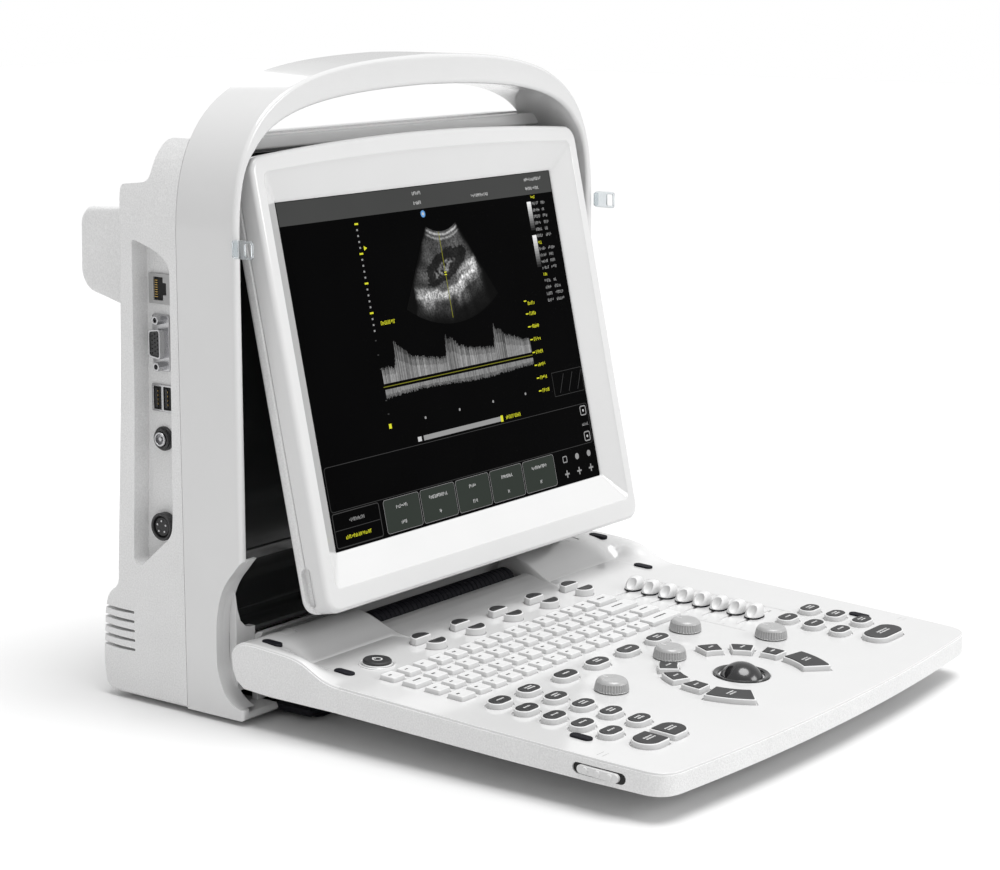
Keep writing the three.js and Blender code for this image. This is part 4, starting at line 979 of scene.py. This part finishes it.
def half_stadium(x, y, w, d, side, grow=0.0):
    radius = d / 2 + grow
    inner = x - side * (w / 2 + grow)
    centre = x + side * (w / 2 - d / 2)
    turns = [math.radians(-90 + 180 * i / 16) for i in range(17)]
    arc = [(centre + side * radius * math.cos(t), y + side * radius * math.sin(t)) for t in turns]
    points = [(inner, y - side * radius), *arc, (inner, y + side * radius)]
    return fillet(points, [1.6 + grow, *[0] * 17, 1.6 + grow], 3)


def arc_key(start, end, inner, outer, grow=0.0, r=1.2):
    """A key between two arcs round the trackball, with rounded corners."""
    turn = math.degrees(grow / 40)
    a, b = math.radians(start - turn), math.radians(end + turn)
    steps = 10
    turns = [a + (b - a) * i / steps for i in range(steps + 1)]
    out = [(BALL_AT[0] + radius * math.cos(t), BALL_AT[1] + radius * math.sin(t))
           for radius, row in ((outer + grow, turns), (inner - grow, turns[::-1])) for t in row]
    radii = [r + grow if i % (steps + 1) in (0, steps) else 0.0 for i in range(len(out))]
    return fillet(out, radii, 3)


def leaf(x, y, up, grow=0.0):
    """A soft key: straight on the side that faces its twin, round on the other."""
    half, rise = 6.8 + grow, 7.2 + 2 * grow
    straight = y - up * (3.6 + grow)
    turns = [math.pi * i / 18 for i in range(19)]
    points = [(x + half * math.cos(t), straight + up * rise * math.sin(t) ** 0.8) for t in turns]
    return fillet(points, [1.2, *[0] * 17, 1.2], 3)


def flipped(side, loop):
    """The loop as drawn for the right side, mirrored for the left."""
    return loop if side > 0 else [(-x, y) for x, y in loop[::-1]]


ovals = {
    "left": [(x, y, 15.5, 9.9) for y in OVAL_ROWS for x in LEFT_COLUMNS],
    "upper": [(x, OVAL_ROWS[0], 17.3, 9.9) for x in UPPER],
    "right": [(x, y, 15.5, 9.9) for y in OVAL_ROWS[2:] for x in RIGHT_COLUMNS],
}
arcs = [(48, 66, 33.4, 44.4), (22, 40, 33.4, 44.4), (-2, 14, 33.4, 44.4)]
big_arc = (-40, -8, 34.4, 50.4)
save = (-125.5, BIG_ROW, 17, 15.6, -1)
store = (-104.5, BIG_ROW, 17, 15.6, 1)
wide = (114, BIG_ROW, 30.5, 15.4)


def key_row(first, last):
    keys = [(-136.5 + first / 2, first)]
    left = -136.5 + first + 3.6
    while left + 9.8 < 68.5 - last:
        keys.append((left + 4.9, 9.8))
        left += 13.4
    keys.append(((left + 68.5) / 2, 68.5 - left))
    return keys


KEYS = [key_row(9.8, 15), key_row(13.6, 24), key_row(9.8, 15), key_row(11.8, 22)]

MOAT = 0.75
holes = [stadium(*o, MOAT + 0.2) for group in ovals.values() for o in group]
holes += [flipped(side, arc_key(*a, MOAT)) for side in (1, -1) for a in [*arcs, big_arc]]
holes += [half_stadium(*save, MOAT), half_stadium(*store, MOAT), stadium(*wide, MOAT)]
front_leaves = [leaf(x, -58, -1, 0.5) for x in SOFT_KEYS]
rear_leaves = [leaf(x, -44, 1, 0.5) for x in SOFT_KEYS]
power_hole = circle(*POWER, 8.5, 40)
holes += rear_leaves + front_leaves
holes += [rounded(x, y, w + 0.9, 10.7, 1.4, 2) for y, row in zip(KEY_ROWS, KEYS) for x, w in row]
holes += [rounded(SLIDER_X, y, 36, 2.2, 1.1, 4) for y in SLIDERS]
holes += [circle(x, y, 3.5, 24) for x, y in KNOBS]
holes += [circle(*BALL_AT, 15.5, 64), power_hole]
deck = sliced(plate([plan(0.4), *holes], -0.4, TOP, 0.35), (0, REAR_EDGE, 0), (0, 1, 0))
knuckle_slots = [plate([circle(0, 0, 12.7, 48)], side * KNUCKLE_X - 4.9, side * KNUCKLE_X + 4.9, 0, "X")
                 for side in SIDES]
hump = boolean(hump, [plate([h], -6, 8) for h in [*front_leaves, *rear_leaves, power_hole]] + knuckle_slots)
pads = [plate([stadium(side * x, y, 5.6, 12.6)], low, high, 0.5, steps=3) for side in SIDES
        for x, y, low, high in (
    (141, -49, 1.7, TOP + 1.1), (140, -198.5, 1.7, TOP + 1.1), (151.5, -8, 10.6, 12.6))]
piece("panel_cover", {WHITE: [deck, hump]}, "panel", ["keyboard_top_cover"], angle=32)
piece("bumper_pads", {RUBBER: pads}, "panel")

BELLY = [(-290, -9.0), (-153, -11.4), (-56, -12.6), (-15, -14.2), (3, -13.8)]
LATCH_Y, LATCH_Z = -222.5, -4.9
belly = fillet([(8, -10), (11.8, -4), (10, 0), (2, 0.2), (-40, 0.8), (-290, 0.8), *BELLY],
               [4, 3, 2, 0, 0, 0, 0, 30, 30, 10, 8], 4)
tub = plate([belly], -HALF_WIDTH, HALF_WIDTH, 0.5, "X", 3)
tub = boolean(tub, [plate([plan()], -30, 20)], "INTERSECT")
under = [(y, z) for _, y, z in cover_ring(0, shoulder_line, 0, 1.1)[COUNT:]][::-1]
outer_loop = under + [(REAR_EDGE, -12.5), (-15, -14.2), (3, -13.8), (8.4, -10.4), (11.2, -5)]
outer_tubs = [plate([outer_loop], side * 158.4 - 2.6, side * 158.4 + 2.6, 0.5, "X", 3) for side in SIDES]
pocket = rounded(LATCH_Y, LATCH_Z, 30, 5.6, 2.8, 8)
slots = [plate([pocket], side * HALF_WIDTH - 2.2, side * HALF_WIDTH + 2.2, 0, "X") for side in SIDES]
slots += [plate([circle(0, 0, 8.4, 32)], -67, 67, 0, "X")]
slots += [block(*sorted((side * 126, side * 137)), -12.9, 22, -22, 22, 0.1) for side in SIDES]
slots += [block(*sorted((side * 156.2, side * 163)), REAR_EDGE, 22, -30, 20, 0.01) for side in SIDES]
tub = boolean(tub, slots)
wells, well_screws, strips = [], [], []
for x, y in [(s * 140, y) for s in SIDES for y in (-28, -118, -205)] + [(0, -222), (-52, -222), (52, -222)]:
    z = level_at(BELLY, y)
    wells.append(turned([(0.01, z - 3), (3.6, z - 3), (3.6, z + 2.6), (0.01, z + 2.6)], x, y, 28))
    head = [(0.01, 1.9), (1.3, 1.9), (1.5, 0.8), (2.6, 0.9), (3.1, 1.4), (3.1, 3.4), (0.01, 3.4)]
    well_screws.append(turned([(r, z + h) for r, h in head], x, y, 24))
for x in (-96, 96):
    z = level_at(BELLY, -222)
    strips.append(plate([stadium(x, -222, 46, 8)], z - 1.6, z + 1.4, 0.5, steps=3))
tub = boolean(tub, wells)
piece("panel_screws", {STEEL: well_screws}, "panel")
piece("panel_rests", {RUBBER: strips}, "panel")
cup = turned([(0.01, -18.8), (14.6, -18.8), (15.4, -18.2), (16.2, -9.5), (0.01, -9.5)], *BALL_AT, n=48)
piece("panel_tub", {GREY: [tub, *outer_tubs, cup]}, "panel", ["keyboard_bottom_cover"], angle=32)

pocket_shades = []
for word, side in (("left", -1), ("right", 1)):
    body = side_plate(side, [rounded(LATCH_Y, LATCH_Z, 24, 4.4, 2.2, 8)], 157.0, 160.9, 0.3)
    bumps = [side_plate(side, [rounded(LATCH_Y + dy, LATCH_Z, 3.2, 3.6, 1.6, 6)], 160.0, 161.5, 0.5, 3)
             for dy in (-7, 0, 7)]
    # A near-black sheet at the bottom of the slider pocket paints the shade in the recess round the slider.
    pocket_shades.append(side_plate(side, [pocket], 158.6, 159.1, 0.1))
    piece(f"latch_slide_{word}", {KEY: [body, *bumps]}, f"latch_{word}",
          [f"latch_slider_{word}"])
piece("latch_pocket_shades", {SHADE_BLACK: pocket_shades}, "panel")

ribs = []
x = -66.0
while x < 65.9:
    ribs += [(7.6, x), (7.6, x + 3.2), (7.2, x + 3.4), (7.2, x + 3.8)]
    x += 4.0
ribs = [(0.01, -66.0), *ribs, (0.01, 66.0)]
piece("cable_sleeve", {RUBBER: [turned(ribs, 0, 0, 36, "X")]}, "panel", ["hinge_cable_duct"])


def legend(x, y, z, w, rows=1):
    """Generic strokes where a key has a printed mark."""
    out = []
    for row in range(rows):
        dy = (row - (rows - 1) / 2) * 2.0
        u = -w / 2
        while u < w / 2 - 0.3:
            step = rng.uniform(0.5, 1.2)
            high = rng.uniform(0.5, 0.75)
            out.append(plate([rounded(x + u + step / 2, y + dy, step, high * 1.7, 0.15, 2)], z - 0.02,
                             z + 0.04))
            u += step + 0.35
    return out


def key_group(name, body, node, shapes, prints=(), top_z=TOP + 3.1):
    """Keys that travel together: pale bodies with dark tops. shapes give an outline for a growth in mm."""
    parts = {
        KEY: [plate([shape(0.0)], -2.0, top_z - 0.45, 0.5, steps=3) for shape in shapes],
        CAP: [plate([shape(-0.75)], top_z - 1.2, top_z, 0.45, steps=3) for shape in shapes],
    }
    strokes = [stroke for x, y, w, rows in prints for stroke in legend(x, y, top_z, w, rows)]
    if strokes:
        parts[PRINT] = strokes
    piece(name, parts, body, [node])


PRINT = surface("key_print", (0.6, 0.6, 0.6), 0.5, grain=0.1)
INK = surface("key_ink", (0.02, 0.02, 0.02), 0.5, grain=0.1)

for word in ("left", "upper", "right"):
    key_group(f"function_keys_{word}", f"{word}_functions", f"{word}_function_keys",
              [lambda g, o=o: stadium(*o, g) for o in ovals[word]],
              [(x, y, 5.5, 1 + i % 2) for i, (x, y, _, _) in enumerate(ovals[word])])
middles = [math.radians((a[0] + a[1]) / 2) for a in arcs]
for word, side in (("left", -1), ("right", 1)):
    key_group(f"ball_keys_{word}", f"trackball_{word}", f"trackball_keys_{word}",
              [lambda g, a=a: flipped(side, arc_key(*a, g)) for a in arcs],
              [(side * 39 * math.cos(t), BALL_AT[1] + 39 * math.sin(t), 4.0, 1) for t in middles])
for word, side in (("enter", 1), ("select", -1)):
    key_group(f"{word}_cap", word, f"{word}_key", [lambda g: flipped(side, arc_key(*big_arc, g, 2.5))],
              [(side * 38.5, -221.5, 6, 2)])
for word, shape, x, w in (("save", lambda g: half_stadium(*save, g), -124.5, 7),
                          ("print", lambda g: half_stadium(*store, g), -105.5, 7),
                          ("freeze", lambda g: stadium(*wide, g), 114, 11)):
    key_group(f"{word}_cap", word, f"{word}_key", [shape], [(x, BIG_ROW, w, 2)])
soft = [lambda g, x=x, y=y, up=up: leaf(x, y, up, g) for y, up in ((-44, 1), (-58, -1)) for x in SOFT_KEYS]
key_group("soft_key_caps", "soft_pad", "soft_keys", soft, top_z=TOP + 4.4)

power_base = turned([(0.01, -2), (8.1, -2), (8.1, TOP + 0.9), (7.6, TOP + 1.4), (0.01, TOP + 1.4)], *POWER)
power_top = turned([(0.01, TOP + 1.0), (7.7, TOP + 1.0), (7.7, TOP + 2.4), (7.2, TOP + 3.0),
                    (6.6, TOP + 3.15),
                    (0.01, TOP + 2.9)], *POWER)
power_ring = hoop([(2.1, 4.9), (2.8, 4.9), (2.8, 5.06), (2.1, 5.06)], *POWER, 32)
power_bar = plate([rounded(POWER[0], POWER[1] + 2.2, 0.7, 2.6, 0.3, 3)], 4.9, 5.1)
piece("power_cap", {KEY: [power_base], CAP: [power_top], PRINT: [power_ring, power_bar]}, "power_button",
      ["power_key"])
collar = hoop([(8.7, 1.6), (10.1, 1.6), (9.9, 2.5), (9.4, 2.8), (8.9, 2.6)], *POWER, 48)
piece("power_collar", {WHITE: [collar]}, "panel")

CROWN = [(0.1, 0.9, -2.3), (0.1, 0.9, TOP + 0.3), (-0.3, 0.9, TOP + 1.95), (-0.6, 0.9, TOP + 2.25),
         (-1.1, 0.8, TOP + 2.38), (-1.8, 0.7, TOP + 2.4), (-4.4, 0.5, TOP + 2.25)]
letters, inks = [], []
for y, row in zip(KEY_ROWS, KEYS):
    for x, w in row:
        letters.append(loft([[(px, py, z) for px, py in rounded(x, y, w + grow, 9.8 + grow, r, 4)]
                             for grow, r, z in CROWN]))
        small = w < 12
        inks += legend(x - w / 2 + 3.6 if small else x, y + 0.6, TOP + 2.3, 2.4 if small else w * 0.4)
sheet = plate([rounded(-34, -95.8, 204.5, 54, 1, 3)], -3.4, -2.2)
piece("letter_keys", {KEY: [*letters, sheet], INK: inks}, "alphanumeric", ["alphanumeric_keys"])

KNOB_SIDE = [(8.9, 0.5), (9.15, 0.8), (9.15, 1.0, 1), (8.9, 2.6, 1), (8.5, 4.4, 1), (8.3, 4.9), (7.9, 5.5),
             (7.3, 6.2),
             (6.6, 6.55), (5.8, 6.6)]
knob_side = [(0.01, TOP + 0.5), *[(r, TOP + h, *ribbed) for r, h, *ribbed in KNOB_SIDE], (0.01, TOP + 6.3)]
for i, (x, y) in enumerate(KNOBS, 1):
    knurl = turned(knob_side, x, y, 180, ribs=36, rib=0.55)
    stem = turned([(0.01, -4.4), (2.9, -4.4), (2.9, TOP + 0.6), (0.01, TOP + 0.6)], x, y, 24)
    pointer = plate([rounded(x, y + 4.2, 0.8, 3.2, 0.4, 3)], TOP + 6.2, TOP + 6.62)
    piece(f"knob_{i}", {KNOB: [knurl, stem], PRINT: [pointer]}, f"knob_{i}",
          [f"rotary_knob_{i}"])

BALL_RADIUS, BALL_Z = 12.5, -4.0
turns = [math.pi * i / 40 for i in range(41)]
ball = turned([(max(BALL_RADIUS * math.sin(t), 0.01), BALL_Z - BALL_RADIUS * math.cos(t)) for t in turns],
              *BALL_AT, n=72)
piece("ball", {BALL: [ball]}, "ball", ["trackball"])
lip = hoop([(13.4, -1.9), (15.1, -1.9), (15.1, 2.3), (14.8, 2.7), (14.2, 2.8), (13.0, 2.5), (12.4, 1.9),
            (12.2, 1.4),
            (12.5, 0.6)], *BALL_AT, 72)
piece("ball_ring", {BLACK: [lip]}, "panel", ["trackball_ring"])

# Gain sliders: (width, depth, height, lean) of each section of the thumb piece.
THUMB = [(13.4, 9.2, 0.9, 0), (13.8, 9.5, 1.3, 0), (13.2, 9.3, 2.2, 0.1), (11.8, 8.6, 4.2, 0.5),
         (10.0, 7.6, 5.9, 0.9),
         (7.6, 6.0, 7.0, 1.2), (4.6, 3.6, 7.5, 1.4), (1.6, 1.2, 7.6, 1.5)]
turns = [math.pi * k / 20 for k in range(40)]
square = [1 + 0.06 * abs(math.sin(2 * t)) for t in turns]
for i, y in enumerate(SLIDERS, 1):
    x = SLIDER_X
    rings = [[(x + lean + w / 2 * math.cos(t) * q, y + d / 2 * math.sin(t) * q, TOP + z)
              for t, q in zip(turns, square)] for w, d, z, lean in THUMB]
    arc = [math.pi * k / 16 for k in range(17)]
    verts, faces = turned([(max(0.01, 5.2 * math.sin(t)), -5.2 * math.cos(t)) for t in arc], n=32)
    scoop = ([(a * 0.95 + x - 6.6, b * 0.72 + y - 1.0, c * 1.1 + TOP + 7.0) for a, b, c in verts], faces)
    stem = block(x - 2.5, x + 2.5, y - 0.8, y + 0.8, -4.4, TOP + 0.8, 0.1)
    # A black rubber pad under each thumb paints the dark shadow ring at its foot.
    thumb_shade_pad = plate([stadium(x, y, 13.6, 9.6)], TOP + 0.1, TOP + 0.8, 0.1)
    piece(f"gain_cap_{i}", {KEY: [boolean(loft(rings), [scoop]), stem], RUBBER: [thumb_shade_pad]}, f"gain_{i}",
          [f"gain_slider_{i}"])

strokes = [(x, -115.5, 0.35, 99, 0.15) for x in (69, 119)]
strokes += [(x, -66.5 - i * SLIDER_PITCH, 3.0, 0.35, 0.15) for i in range(9) for x in (72, 117)]
strokes += [(side * 152, y, 6, 0.3, 0.1) for side in SIDES for y in (-221, -218)]
lines = [plate([rounded(*stroke, 2)], TOP - 0.1, TOP + 0.04) for stroke in strokes]
piece("scale_lines", {KNOB: lines}, "panel")

# ---------- CAD pieces that stay as they are, with finishes and softened edges ----------
FINISH = {
    "main_board": BOARD, "control_board": BOARD, "power_supply": STEEL, "battery_pack": CELL,
    "fan_frame": FAN,
    "fan_rotor": FAN, "keyboard_hinge_rod": STEEL, "monitor_pivot_rod": STEEL,
    "monitor_hinge_arm_left": STEEL,
    "monitor_hinge_arm_right": STEEL,
}
for name, material in FINISH.items():
    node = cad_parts[name]
    node.data.materials.clear()
    node.data.materials.append(material)
    bevel = node.modifiers.new("edges", "BEVEL")
    bevel.width = 0.0003
    bevel.segments = 2
    bevel.limit_method = "ANGLE"
    bevel.angle_limit = math.radians(40)

# ---------- stage ----------
SIZE = 6.0
floor_mesh = bpy.data.meshes.new("floor")
floor_mesh.from_pydata([(-SIZE, -SIZE, 0), (SIZE, -SIZE, 0), (SIZE, SIZE, 0), (-SIZE, SIZE, 0)], [],
                       [(0, 1, 2, 3)])
floor_mesh.materials.append(surface("floor_paper", (0.71, 0.71, 0.71), 0.8, grain=0.02, grain_scale=60,
                                    tint=0.004))
floor = placed("floor", floor_mesh)

# The world is a soft light, and pure white only where the camera sees it.
world = bpy.data.worlds.new("studio")
bpy.context.scene.world = world
world.use_nodes = True
sky = world.node_tree
seen_white = add(sky, "LightPath", {}, "Is Camera Ray")
level = add(sky, "MapRange", {"To Min": 0.6, "To Max": 1.0, "Value": seen_white}, "Result")
feed(sky, sky.nodes["Background"], {"Color": (1, 1, 1, 1), "Strength": level})
sun_data = bpy.data.lights.new("sun", "SUN")
sun_data.energy = 2.75
sun_data.angle = math.radians(40)
sun = placed("sun", sun_data)
sun.rotation_euler = Vector((-0.02, 0.2, -0.98)).to_track_quat("-Z", "Y").to_euler()


def lamp(name, where, size_m, power):
    """A soft panel that looks at the middle of the object."""
    data = bpy.data.lights.new(name, "AREA")
    data.shape = "RECTANGLE"
    data.size, data.size_y = size_m
    data.energy = power
    obj = placed(name, data)
    obj.location = where
    obj.rotation_euler = (Vector((0, 0, 0.2)) - Vector(where)).to_track_quat("-Z", "Y").to_euler()


lamp("key", (0.6, -1.6, 0.9), (0.9, 0.5), 9)
lamp("back", (0.6, 1.6, 1.0), (1.2, 0.8), 3)

# The camera was solved against the photo, from the corners of the display and the edges of the case.
camera_data = bpy.data.cameras.new("camera")
camera_data.lens = 88.66
camera_data.sensor_width = 36
camera_data.sensor_fit = "HORIZONTAL"
camera_data.clip_end = 100
camera = placed("camera", camera_data)
camera.location = (-1.08285, -0.89097 + SHIFT / 1000, 0.40228)
camera.rotation_euler = (math.radians(90 - 11.06), 0, math.radians(-53.34))
bpy.context.scene.camera = camera
bpy.context.scene.view_settings.view_transform = "Standard"
